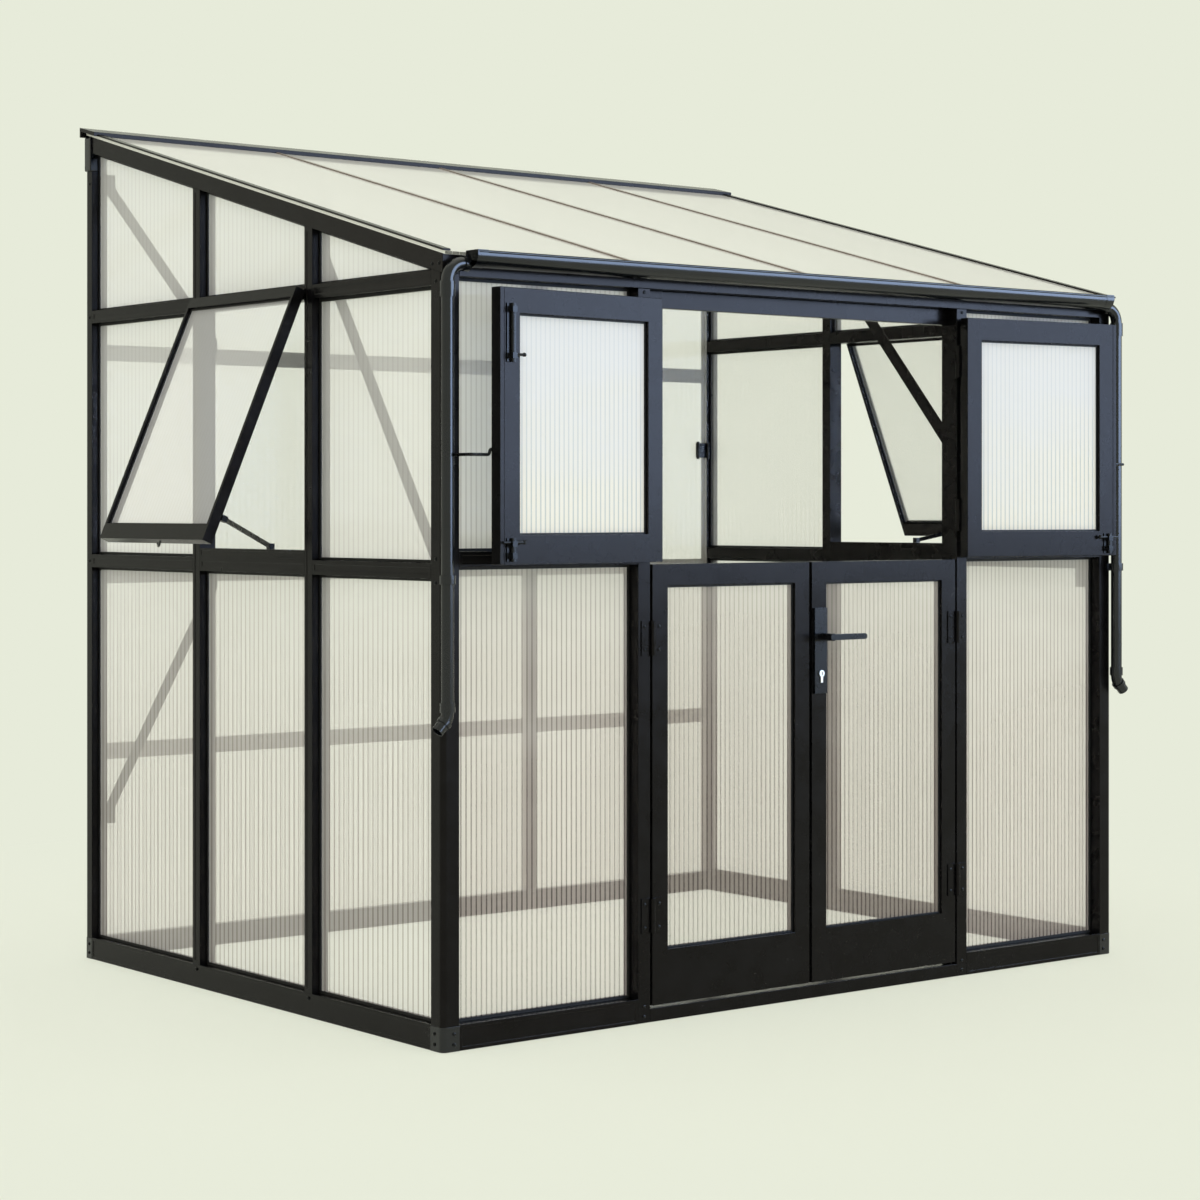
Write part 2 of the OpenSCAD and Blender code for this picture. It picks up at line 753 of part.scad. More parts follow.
module downpipe(side) {
    elbow_low = elbow_z - bend_r;
    tail_x = -outlet_bend_r * (1 - cos(outlet_angle));
    tail_z = outlet_z - outlet_bend_r * sin(outlet_angle);
    color(PLASTIC) on_side(side) translate([side_x, pipe_y, 0]) {
        translate([bend_r, 0, elbow_z]) rotate([0, 90, 0]) cylinder(r = coupling_r, h = collar_l);
        translate([bend_r, 0, elbow_low]) pipe_bend(bend_r, 90, 90);
        translate([0, 0, outlet_z]) cylinder(r = pipe_r, h = elbow_low - outlet_z);
        translate([0, 0, elbow_low - coupling_l]) cylinder(r = coupling_r, h = coupling_l);
        translate([0, 0, outlet_z]) cylinder(r = coupling_r, h = outlet_coupling_l);
        translate([-outlet_bend_r, 0, outlet_z])
            pipe_bend(outlet_bend_r, -outlet_angle, outlet_angle);
        translate([tail_x, 0, tail_z]) rotate([0, 180 + outlet_angle, 0]) difference() {
            union() {
                cylinder(r = pipe_r, h = outlet_l);
                translate([0, 0, -rim_l / 2]) cylinder(r = coupling_r, h = rim_l);
            }
            translate([0, 0, outlet_l - outlet_bore_l]) cylinder(r = pipe_r - pipe_wall, h = outlet_l);
        }
    }
}

module pipe_clips() {
    ring_r = pipe_r + clip_t;
    tab_x = side_x + post_round;
    color(PLASTIC) both_sides() difference() {
        union() {
            translate([side_x, pipe_y, clip_z]) cylinder(r = ring_r, h = clip_h);
            block([tab_x, pipe_y + pipe_r / 2, clip_z], [tab_x + clip_tab_w, front_y, clip_z + clip_h]);
        }
        translate([side_x, pipe_y, clip_z - 1]) cylinder(r = pipe_r + fit, h = clip_h + 2);
    }
}

// The place of a door leaf: pin line at the origin, leaf reaching along +X, turned open by the given angle
module at_hinge(side, z, open) {
    on_side(side) translate([-pin_x, front_y - pin_out, z]) rotate([0, 0, -open]) children();
}

module leaf_frame(height, top_h, bottom_h) {
    difference() {
        block([leaf_edge, pin_out, 0], [leaf_edge + leaf_w, leaf_back, height]);
        block([leaf_edge + stile_w, pin_out - 1, bottom_h],
              [leaf_edge + leaf_w - stile_w, leaf_back + 1, height - top_h]);
    }
}

module leaf_panel(height, top_h, bottom_h) {
    mid_y = pin_out + leaf_t / 2;
    block([leaf_edge + stile_w + fit, mid_y - sheet_t / 2, bottom_h + fit],
          [leaf_edge + leaf_w - stile_w - fit, mid_y + sheet_t / 2, height - top_h - fit]);
}

// A ring of room around the pin, over one third of a hinge
module knuckle_space(third) {
    translate([0, 0, third * knuckle_h - fit])
        cylinder(r = knuckle_r + knuckle_room, h = knuckle_h + 2 * fit);
}

// The half of a hinge on the jamb, with the outer knuckles and the pin
module hinge_jamb_half() {
    difference() {
        union() {
            block([-hinge_plate_w, pin_out - hinge_plate_t, 0], [0, pin_out, hinge_h]);
            cylinder(r = knuckle_r, h = hinge_h);
        }
        knuckle_space(1);
    }
    cylinder(r = pin_r, h = hinge_h);
}

// The half of a hinge on the leaf, with the middle knuckle
module hinge_leaf_half() {
    difference() {
        union() {
            block([0, pin_out - hinge_plate_t, 0], [hinge_plate_w, pin_out, hinge_h]);
            translate([0, 0, knuckle_h + fit]) cylinder(r = knuckle_r, h = knuckle_h - 2 * fit);
        }
        knuckle_space(0);
        knuckle_space(2);
        translate([0, 0, -1]) cylinder(r = pin_r + fit, h = hinge_h + 2);
    }
}

module upper_door_frame(side) {
    color(FRAME) at_hinge(side, upper_z, upper_open) leaf_frame(upper_h, upper_top_h, upper_bottom_h);
}

module upper_door_panels() {
    color(SHEET) for (side = [-1, 1])
        at_hinge(side, upper_z, upper_open) leaf_panel(upper_h, upper_top_h, upper_bottom_h);
}

module upper_door_hinges() {
    low_z = upper_z + upper_hinge_up;
    high_z = upper_z + upper_h - upper_hinge_down;
    color(PLASTIC) for (side = [-1, 1], z = [low_z, high_z]) {
        at_hinge(side, z - hinge_h / 2, 0) hinge_jamb_half();
        at_hinge(side, z - hinge_h / 2, upper_open) hinge_leaf_half();
    }
}

// A slide bolt on the inner face of a leaf: plate, rod and two guides
module slide_bolt(height) {
    guide_x = (bolt_plate_w - bolt_guide) / 2;
    block([0, 0, 0], [bolt_plate_w, bolt_plate_t, height]);
    translate([bolt_plate_w / 2, bolt_plate_t + bolt_rod_r - bolt_groove, 0])
        cylinder(r = bolt_rod_r, h = height);
    for (z = [bolt_guide / 2, height - 1.5 * bolt_guide])
        block([guide_x, 0, z], [guide_x + bolt_guide, bolt_depth, z + bolt_guide]);
}

module door_bolts() {
    color(PLASTIC) {
        for (side = [-1, 1]) at_hinge(side, upper_z, upper_open)
            translate([bolt_x, leaf_back, bolt_margin]) slide_bolt(bolt_plate_h);
        at_hinge(-1, upper_z, upper_open)
            translate([bolt_x, leaf_back, upper_h - long_bolt_down - long_bolt_h]) slide_bolt(long_bolt_h);
    }
}

// The hooks that hold the upper leaves open: a stand-off on the post and an arm to the leaf's stile
module door_hooks() {
    post_x = side_x + hook_in;
    reach = -(pin_x + post_x) / cos(180 - upper_open);
    stile = leaf_edge + leaf_w - stile_w / 2;
    arm_y = pin_out - fit;
    hook_y = front_y - pin_out - reach * sin(upper_open) + (arm_y - hook_w / 2) * cos(upper_open);
    color(PLASTIC) both_sides() translate([0, 0, upper_z + hook_up]) {
        block([post_x - hook_w / 2, hook_y, 0], [post_x + hook_w / 2, front_y, hook_w]);
        at_hinge(-1, 0, upper_open)
            block([min(reach, stile) - hook_w / 2, arm_y - hook_w, 0],
                  [max(reach, stile) + hook_w / 2, arm_y, hook_w]);
    }
}

// Holes through the right lower leaf for the spindle and the lock cylinder
module lock_holes(room) {
    for (hole = [[lever_z, spindle_r], [cylinder_z, cylinder_r]])
        translate([lock_x, leaf_back + lock_plate_t + 1, hole[0] - lower_z]) rotate([90, 0, 0])
            cylinder(r = hole[1] + room, h = leaf_t + 2 * lock_plate_t + 2);
}

module lower_left_door_frame() {
    color(FRAME) at_hinge(-1, lower_z, 0) leaf_frame(lower_h, lower_top_h, lower_bottom_h);
}

module lower_right_door_frame() {
    color(FRAME) at_hinge(1, lower_z, 0) difference() {
        leaf_frame(lower_h, lower_top_h, lower_bottom_h);
        lock_holes(fit);
    }
}

module lower_door_panel(side) {
    color(SHEET) at_hinge(side, lower_z, 0) leaf_panel(lower_h, lower_top_h, lower_bottom_h);
}

module lower_hinges(side) {
    color(PLASTIC) for (z = [lower_hinge_low_z, lower_hinge_high_z])
        at_hinge(side, z - hinge_h / 2, 0) hinge_leaf_half();
}

module jamb_hinges() {
    color(PLASTIC) for (side = [-1, 1], z = [lower_hinge_low_z, lower_hinge_high_z])
        at_hinge(side, z - hinge_h / 2, 0) hinge_jamb_half();
}

module lock_plates() {
    low_z = lock_plate_z - lower_z;
    left = lock_x - lock_plate_w / 2;
    color(PLASTIC) at_hinge(1, lower_z, 0) difference() {
        for (y = [pin_out - lock_plate_t, leaf_back])
            block([left, y, low_z], [left + lock_plate_w, y + lock_plate_t, low_z + lock_plate_h]);
        lock_holes(fit);
    }
}

module lock_cylinder() {
    reach = lock_plate_t + cylinder_out;
    color(STEEL) at_hinge(1, lower_z, 0)
        translate([lock_x, leaf_back + reach, cylinder_z - lower_z]) rotate([90, 0, 0])
            cylinder(r = cylinder_r, h = leaf_t + 2 * reach);
}

// One end of the lever: neck and grip, with the plate's face at the origin and the grip along -X
module lever_end() {
    translate([0, -fit, 0]) rotate([90, 0, 0]) cylinder(r = lever_neck_r, h = lever_stand - fit);
    block([-lever_l + lever_h / 2, -lever_stand, -lever_h / 2], [0, lever_t - lever_stand, lever_h / 2]);
    translate([-lever_l + lever_h / 2, lever_t - lever_stand, 0]) rotate([90, 0, 0])
        cylinder(r = lever_h / 2, h = lever_t);
}

module lever_handle() {
    color(PLASTIC) at_hinge(1, lower_z, 0) translate([lock_x, 0, lever_z - lower_z]) {
        translate([0, pin_out - lock_plate_t, 0]) lever_end();
        translate([0, leaf_back + lock_plate_t, 0]) mirror([0, 1, 0]) lever_end();
        translate([0, leaf_back + lock_plate_t + fit, 0]) rotate([90, 0, 0])
            cylinder(r = spindle_r, h = leaf_t + 2 * lock_plate_t + 2 * fit);
    }
}

front_base_rails();
door_threshold();
side_base_rails();
back_base_rail();
front_posts();
back_posts();
back_post_caps();
door_jambs();
front_mid_rails();
eaves_beam();
door_header();
wall_mullions(-1);  // left_wall_mullions
wall_mullions(1);  // right_wall_mullions
wall_rails(-1);  // left_wall_rails
wall_rails(1);  // right_wall_rails
gable_rafters();
roof_bars();
roof_edge_trims();
ridge_beam();
ridge_flashing();
back_wall_mullions();
back_wall_rails();
wind_braces();
knee_braces();
front_wall_panels();
wall_panels(-1);  // left_wall_panels
wall_panels(1);  // right_wall_panels
back_wall_panels();
roof_panels();
window_sash(-1);  // left_window_sash
window_sash(1);  // right_window_sash
window_panes();
window_sills();
window_stays();
gutter();
downpipe(-1);  // left_downpipe
downpipe(1);  // right_downpipe
pipe_clips();
upper_door_frame(-1);  // upper_left_door_frame
upper_door_frame(1);  // upper_right_door_frame
upper_door_panels();
upper_door_hinges();
door_bolts();
door_hooks();
lower_left_door_frame();
lower_door_panel(-1);  // lower_left_door_panel
lower_hinges(-1);  // lower_left_hinges
lower_right_door_frame();
lower_door_panel(1);  // lower_right_door_panel
lower_hinges(1);  // lower_right_hinges
jamb_hinges();
lock_plates();
lock_cylinder();
lever_handle();
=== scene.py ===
import math
import bpy
from mathutils import Matrix, Vector


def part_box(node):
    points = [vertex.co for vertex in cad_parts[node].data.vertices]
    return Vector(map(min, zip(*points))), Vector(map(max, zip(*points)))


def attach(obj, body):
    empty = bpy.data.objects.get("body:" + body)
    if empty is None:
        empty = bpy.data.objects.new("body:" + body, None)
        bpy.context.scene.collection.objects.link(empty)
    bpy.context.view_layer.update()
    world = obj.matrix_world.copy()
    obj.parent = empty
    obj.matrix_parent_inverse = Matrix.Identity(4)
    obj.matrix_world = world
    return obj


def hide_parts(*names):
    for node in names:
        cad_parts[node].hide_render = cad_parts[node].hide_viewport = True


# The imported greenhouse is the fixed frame, in metres, and every piece below rides on one of its
# bodies: the building itself, the two lower door leaves and the lever handle.
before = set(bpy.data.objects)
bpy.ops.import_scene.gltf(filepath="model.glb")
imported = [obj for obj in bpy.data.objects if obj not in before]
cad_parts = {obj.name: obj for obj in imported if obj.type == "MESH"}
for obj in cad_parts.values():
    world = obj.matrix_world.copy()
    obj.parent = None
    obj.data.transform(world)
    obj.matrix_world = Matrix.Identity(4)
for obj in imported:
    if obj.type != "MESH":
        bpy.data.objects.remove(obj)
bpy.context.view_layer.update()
scene = bpy.context.scene

# Camera. A level view from the front left, at about chest height, through a moderate long lens.
# The lens is shifted down a little so that the upright posts stay upright in the picture.
corner = Vector((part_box("front_posts")[0].x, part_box("front_posts")[0].y, 0.0))
bpy.ops.object.select_all(action="DESELECT")
bpy.ops.object.camera_add(location=corner + Vector((-3.833, -5.452, 1.32)))
camera = bpy.context.object
camera.name = "photo_camera"
camera.rotation_euler = Vector((0.6211, 0.7837, 0.0)).to_track_quat("-Z", "Y").to_euler()
camera.data.sensor_width = 36.0
camera.data.lens = 82.2
camera.data.shift_y = -0.075
camera.data.clip_end = 100.0
scene.camera = camera


# Studio. The pale green-white surround is seen by the eye, by gloss and through the sheets, and a
# plainer grey one gives the soft light from all round. The floor is the same pale colour.
def hex_colour(code):
    parts = [int(code[i:i + 2], 16) / 255.0 for i in (1, 3, 5)]
    linear = [p / 12.92 if p <= 0.04045 else ((p + 0.055) / 1.055) ** 2.4 for p in parts]
    return (linear[0], linear[1], linear[2], 1.0)


def add(tree, kind, settings=None, links=None):
    made = tree.nodes.new(kind)
    for key, value in (settings or {}).items():
        if isinstance(key, int) or key in made.inputs:
            made.inputs[key].default_value = value
        else:
            setattr(made, key, value)
    for key, source in (links or {}).items():
        tree.links.new(source, made.inputs[key])
    return made


def new_finish(name):
    finish = bpy.data.materials.new(name)
    finish.use_nodes = True
    finish.node_tree.nodes.clear()
    return finish, finish.node_tree


surround = "#E7EBDA"
scene.view_settings.view_transform = "Standard"
scene.cycles.transparent_max_bounces = 64
scene.cycles.max_bounces = 7
scene.cycles.diffuse_bounces = 4
scene.cycles.glossy_bounces = 2
scene.cycles.use_adaptive_sampling = True
scene.cycles.adaptive_threshold = 0.03
scene.cycles.adaptive_min_samples = 12
world = bpy.data.worlds.new("pale_studio")
scene.world = world
world.use_nodes = True
tree = world.node_tree
tree.nodes.clear()
path = add(tree, "ShaderNodeLightPath")
eye = add(tree, "ShaderNodeMath", {"operation": "MAXIMUM"},
          {0: path.outputs["Is Camera Ray"], 1: path.outputs["Is Glossy Ray"]})
seen = add(tree, "ShaderNodeMath", {"operation": "MAXIMUM"},
           {0: eye.outputs[0], 1: path.outputs["Is Transmission Ray"]})
fill = add(tree, "ShaderNodeBackground", {"Color": hex_colour("#FFFDFA"), "Strength": 1.0})
pale = add(tree, "ShaderNodeBackground", {"Color": hex_colour(surround), "Strength": 1.0})
both = add(tree, "ShaderNodeMixShader", None,
           {0: seen.outputs[0], 1: fill.outputs[0], 2: pale.outputs[0]})
add(tree, "ShaderNodeOutputWorld", None, {"Surface": both.outputs[0]})

# The floor is a wide disc. Round the building it takes the light and the shadow, and further out
# it fades into the surround so that no horizon shows.
bpy.ops.object.select_all(action="DESELECT")
bpy.ops.mesh.primitive_circle_add(vertices=96, radius=30.0, fill_type="NGON",
                                  location=(0.0, 0.0, -0.0015))
floor = bpy.context.object
floor.name = "studio_floor"
bpy.ops.object.transform_apply(location=True, rotation=True, scale=True)
pale_floor, tree = new_finish("pale_studio_floor")
place = add(tree, "ShaderNodeTexCoord")
span = add(tree, "ShaderNodeVectorMath", {"operation": "LENGTH"}, {0: place.outputs["Object"]})
fade = add(tree, "ShaderNodeMapRange", {"interpolation_type": "SMOOTHSTEP", "From Min": 1.9,
                                        "From Max": 3.6, "To Min": 0.7, "To Max": 1.0},
           {"Value": span.outputs["Value"]})
lit = add(tree, "ShaderNodeBsdfDiffuse", {"Color": hex_colour("#E9EDDE")})
glow = add(tree, "ShaderNodeEmission", {"Color": hex_colour(surround), "Strength": 1.0})
blend = add(tree, "ShaderNodeMixShader", None,
            {0: fade.outputs[0], 1: lit.outputs[0], 2: glow.outputs[0]})
path = add(tree, "ShaderNodeLightPath")
eye = add(tree, "ShaderNodeMath", {"operation": "MAXIMUM"},
          {0: path.outputs["Is Camera Ray"], 1: path.outputs["Is Glossy Ray"]})
seen = add(tree, "ShaderNodeMath", {"operation": "MAXIMUM"},
           {0: eye.outputs[0], 1: path.outputs["Is Transmission Ray"]})
both = add(tree, "ShaderNodeMixShader", None,
           {0: seen.outputs[0], 1: lit.outputs[0], 2: blend.outputs[0]})
add(tree, "ShaderNodeOutputMaterial", None, {"Surface": both.outputs[0]})
pale_floor.cycles.emission_sampling = "NONE"
floor.data.materials.append(pale_floor)

# Soft boxes. A cool one high on the front right and a warm one on the left behind are there for
# the gloss alone, and an even one overhead draws the shadow round the base.
for name, where, toward, width, height, watts, colour in (
        ("cool_front_box", (3.6, -5.8, 2.8), (0.2, -0.5, 1.9), 6.2, 3.4, 640.0, "#B8D3FF"),
        ("warm_side_box", (-5.6, 3.6, 3.9), (-0.8, 0.0, 1.6), 3.6, 3.0, 8.0, "#FFD6B6"),
        ("overhead_box", (-0.6, -0.4, 6.2), (0.0, 0.0, 0.0), 5.0, 5.0, 60.0, "#FFFDF8")):
    bpy.ops.object.light_add(type="AREA", location=where)
    soft_box = bpy.context.object
    soft_box.name = name
    soft_box.rotation_euler = (Vector(toward) - Vector(where)).to_track_quat("-Z", "Y").to_euler()
    soft_box.data.shape = "RECTANGLE"
    soft_box.data.size = width
    soft_box.data.size_y = height
    soft_box.data.energy = watts
    soft_box.data.color = hex_colour(colour)[:3]
    soft_box.visible_diffuse = name == "overhead_box"

# Powder-coated aluminium. The coat is a baked black polyester, satin, with a faint orange peel.
# It gives the eye a dark grey that mirrors the sky softly and shows a thin line on each edge.
black_coat, tree = new_finish("powder_coated_aluminium")
place = add(tree, "ShaderNodeTexCoord")
# handling marks about 70 mm across, and an orange peel drawn at 5 mm, coarser than life, to show
marks = add(tree, "ShaderNodeTexNoise", {"Scale": 1 / 0.07, "Detail": 4.0, "Roughness": 0.55},
            {"Vector": place.outputs["Object"]})
peel = add(tree, "ShaderNodeTexNoise", {"Scale": 1 / 0.005, "Detail": 2.0},
           {"Vector": place.outputs["Object"]})
tone = add(tree, "ShaderNodeValToRGB", None, {"Fac": marks.outputs["Fac"]})
tone.color_ramp.elements[0].position = 0.32
tone.color_ramp.elements[0].color = hex_colour("#0B0B0C")
tone.color_ramp.elements[1].position = 0.72
tone.color_ramp.elements[1].color = hex_colour("#121213")
satin = add(tree, "ShaderNodeMapRange", {"From Min": 0.3, "From Max": 0.75, "To Min": 0.2,
                                         "To Max": 0.28}, {"Value": marks.outputs["Fac"]})
grain = add(tree, "ShaderNodeBump", {"Strength": 0.06, "Distance": 0.0004},
            {"Height": peel.outputs["Fac"]})
coat = add(tree, "ShaderNodeBsdfPrincipled",
           {"Specular IOR Level": 0.12, "Specular Tint": hex_colour("#FFF3EC"), "IOR": 1.5},
           {"Base Color": tone.outputs["Color"], "Roughness": satin.outputs[0],
            "Normal": grain.outputs["Normal"]})
add(tree, "ShaderNodeOutputMaterial", None, {"Surface": coat.outputs[0]})


# A node's solid as a mesh to work on: copied, merged into whole faces and made the active object.
merge_gap = 0.00001
flat_within = math.radians(0.6)


def cad_copy(node, name):
    bpy.ops.object.select_all(action="DESELECT")
    piece = bpy.data.objects.new(name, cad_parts[node].data.copy())
    scene.collection.objects.link(piece)
    bpy.context.view_layer.objects.active = piece
    piece.select_set(True)
    bpy.ops.object.mode_set(mode="EDIT")
    bpy.ops.mesh.select_mode(type="FACE")
    bpy.ops.mesh.select_all(action="SELECT")
    bpy.ops.mesh.customdata_custom_splitnormals_clear()
    bpy.ops.mesh.remove_doubles(threshold=merge_gap)
    bpy.ops.mesh.dissolve_limited(angle_limit=flat_within)
    bpy.ops.mesh.select_all(action="DESELECT")
    bpy.ops.object.mode_set(mode="OBJECT")
    return piece


# Round the sharp edges of the active piece, the way a coated or moulded edge is.
def round_edges(piece, width, segments=2, sharp=60.0):
    soften = piece.modifiers.new("edges", "BEVEL")
    soften.width = width
    soften.segments = segments
    soften.limit_method = "ANGLE"
    soften.angle_limit = math.radians(sharp)
    soften.use_clamp_overlap = True
    bpy.ops.object.modifier_apply(modifier="edges")


# A finished piece gets its material, and goes on its body in the place of a node, if it has one.
def finish_piece(piece, material, body="building", node=None):
    bpy.ops.object.select_all(action="DESELECT")
    bpy.context.view_layer.objects.active = piece
    piece.select_set(True)
    bpy.ops.object.shade_smooth_by_angle(angle=math.radians(32.0))
    flats = piece.modifiers.new("flats", "WEIGHTED_NORMAL")
    flats.keep_sharp = True
    flats.weight = 100
    bpy.ops.object.modifier_apply(modifier="flats")
    piece.data.materials.clear()
    piece.data.materials.append(material)
    if node:
        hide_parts(node)
    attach(piece, body)
    return piece


# An extruded bar of the frame. The CAD bar is copied, its chosen faces get a shallow channel as
# the extrusion has, and every long edge is rounded the way a coated profile's edges are.
def coated_bar(node, channel=(), margin=0.009, depth=0.0014, rounding=0.0016, body="building"):
    bar = cad_copy(node, node + "_coated")
    for facing in channel:
        wanted = Vector(facing).normalized()
        for face in bar.data.polygons:
            face.select = face.normal.dot(wanted) > 0.999
        bpy.ops.object.mode_set(mode="EDIT")
        bpy.ops.mesh.inset(thickness=margin, depth=0.0, use_individual=True)
        bpy.ops.mesh.inset(thickness=depth * 0.4, depth=-depth, use_individual=True)
        bpy.ops.mesh.select_all(action="DESELECT")
        bpy.ops.object.mode_set(mode="OBJECT")
    round_edges(bar, rounding)
    return finish_piece(bar, black_coat, body, node)


# Ground frame. Four base rails and the door threshold lie on the ground as a ring of extruded
# bars; the posts stand in their corners.
outward = {"left": (-1, 0, 0), "right": (1, 0, 0), "front": (0, -1, 0), "back": (0, 1, 0)}
coated_bar("front_base_rails", (outward["front"],))
coated_bar("side_base_rails", (outward["left"], outward["right"]))
coated_bar("back_base_rail", (outward["back"],))
coated_bar("door_threshold")

# Posts and jambs. The front corner posts have a rounded outer corner, the back ones are slimmer
# and carry the ridge, and two jambs stand each side of the doorway.
coated_bar("front_posts", rounding=0.0012)
coated_bar("back_posts", (outward["back"],), margin=0.008)
coated_bar("door_jambs")

# Front rails. A rail crosses each side bay at the height of the split doors, and the eaves beam
# and the door header close the front at the top.
coated_bar("front_mid_rails", (outward["front"],))
coated_bar("eaves_beam")
coated_bar("door_header")

# Side walls. Two mullions and three rows of rails divide each side into bays, and a sloping
# rafter closes it under the roof.
for side in ("left", "right"):
    coated_bar(side + "_wall_mullions", (outward[side],), margin=0.011)
    coated_bar(side + "_wall_rails", (outward[side],), margin=0.011)
coated_bar("gable_rafters")

# Back wall and braces. The glazed back has two mullions and nine rails, and flat bars set on the
# slant brace the corners against the wind.
coated_bar("back_wall_mullions", (outward["back"], outward["front"]), margin=0.011)
coated_bar("back_wall_rails", (outward["back"], outward["front"]), margin=0.011)
coated_bar("wind_braces", rounding=0.001)
coated_bar("knee_braces", rounding=0.001)

# Roof bars. Three bars carry the sheets' joints under thin cover strips, a trim closes each side
# and a folded flashing covers the ridge. The strips are bronze anodised, and their light taupe
# also stands in for the sky they mirror at this flat angle, a painted sheen.
roof_bars = coated_bar("roof_bars", rounding=0.0006)
bronze_and_sheen_strip, tree = new_finish("bronze_with_painted_sheen")
place = add(tree, "ShaderNodeTexCoord")
# rain marks about 150 mm long
rain = add(tree, "ShaderNodeTexNoise", {"Scale": 1 / 0.15, "Detail": 3.0},
           {"Vector": place.outputs["Object"]})
# the light taupe is the bronze's own tone together with a painted sheen of the sky
tone = add(tree, "ShaderNodeValToRGB", None, {"Fac": rain.outputs["Fac"]})
tone.color_ramp.elements[0].color = hex_colour("#6B6058")
tone.color_ramp.elements[1].color = hex_colour("#8A7E74")
cover = add(tree, "ShaderNodeBsdfPrincipled", {"Roughness": 0.4, "Metallic": 0.3},
            {"Base Color": tone.outputs["Color"]})
add(tree, "ShaderNodeOutputMaterial", None, {"Surface": cover.outputs[0]})
roof_bars.data.materials.append(bronze_and_sheen_strip)
# the cover strips are the 3 mm that stand above the sheets, with a little to spare
strip_depth = 0.0035
roof_face = max(roof_bars.data.polygons, key=lambda face: face.normal.z * face.area).normal.copy()
roof_top = max(roof_face.dot(v.co) for v in roof_bars.data.vertices)
for face in roof_bars.data.polygons:
    face.material_index = 1 if roof_face.dot(face.center) > roof_top - strip_depth else 0
coated_bar("roof_edge_trims", rounding=0.0012)
coated_bar("ridge_beam")
coated_bar("ridge_flashing", rounding=0.0008)

# Door leaves and window sashes. Welded frames of flat bar: two upper leaves folded back against
# the front, two lower leaves shut, and a top-hung sash in each side wall.
coated_bar("upper_left_door_frame", rounding=0.002)
coated_bar("upper_right_door_frame", rounding=0.002)
coated_bar("lower_left_door_frame", rounding=0.002, body="lower_left_door")
coated_bar("lower_right_door_frame", rounding=0.002, body="lower_right_door")
coated_bar("left_window_sash", rounding=0.0012)
coated_bar("right_window_sash", rounding=0.0012)
coated_bar("window_sills", (outward["left"], outward["right"]), margin=0.006)
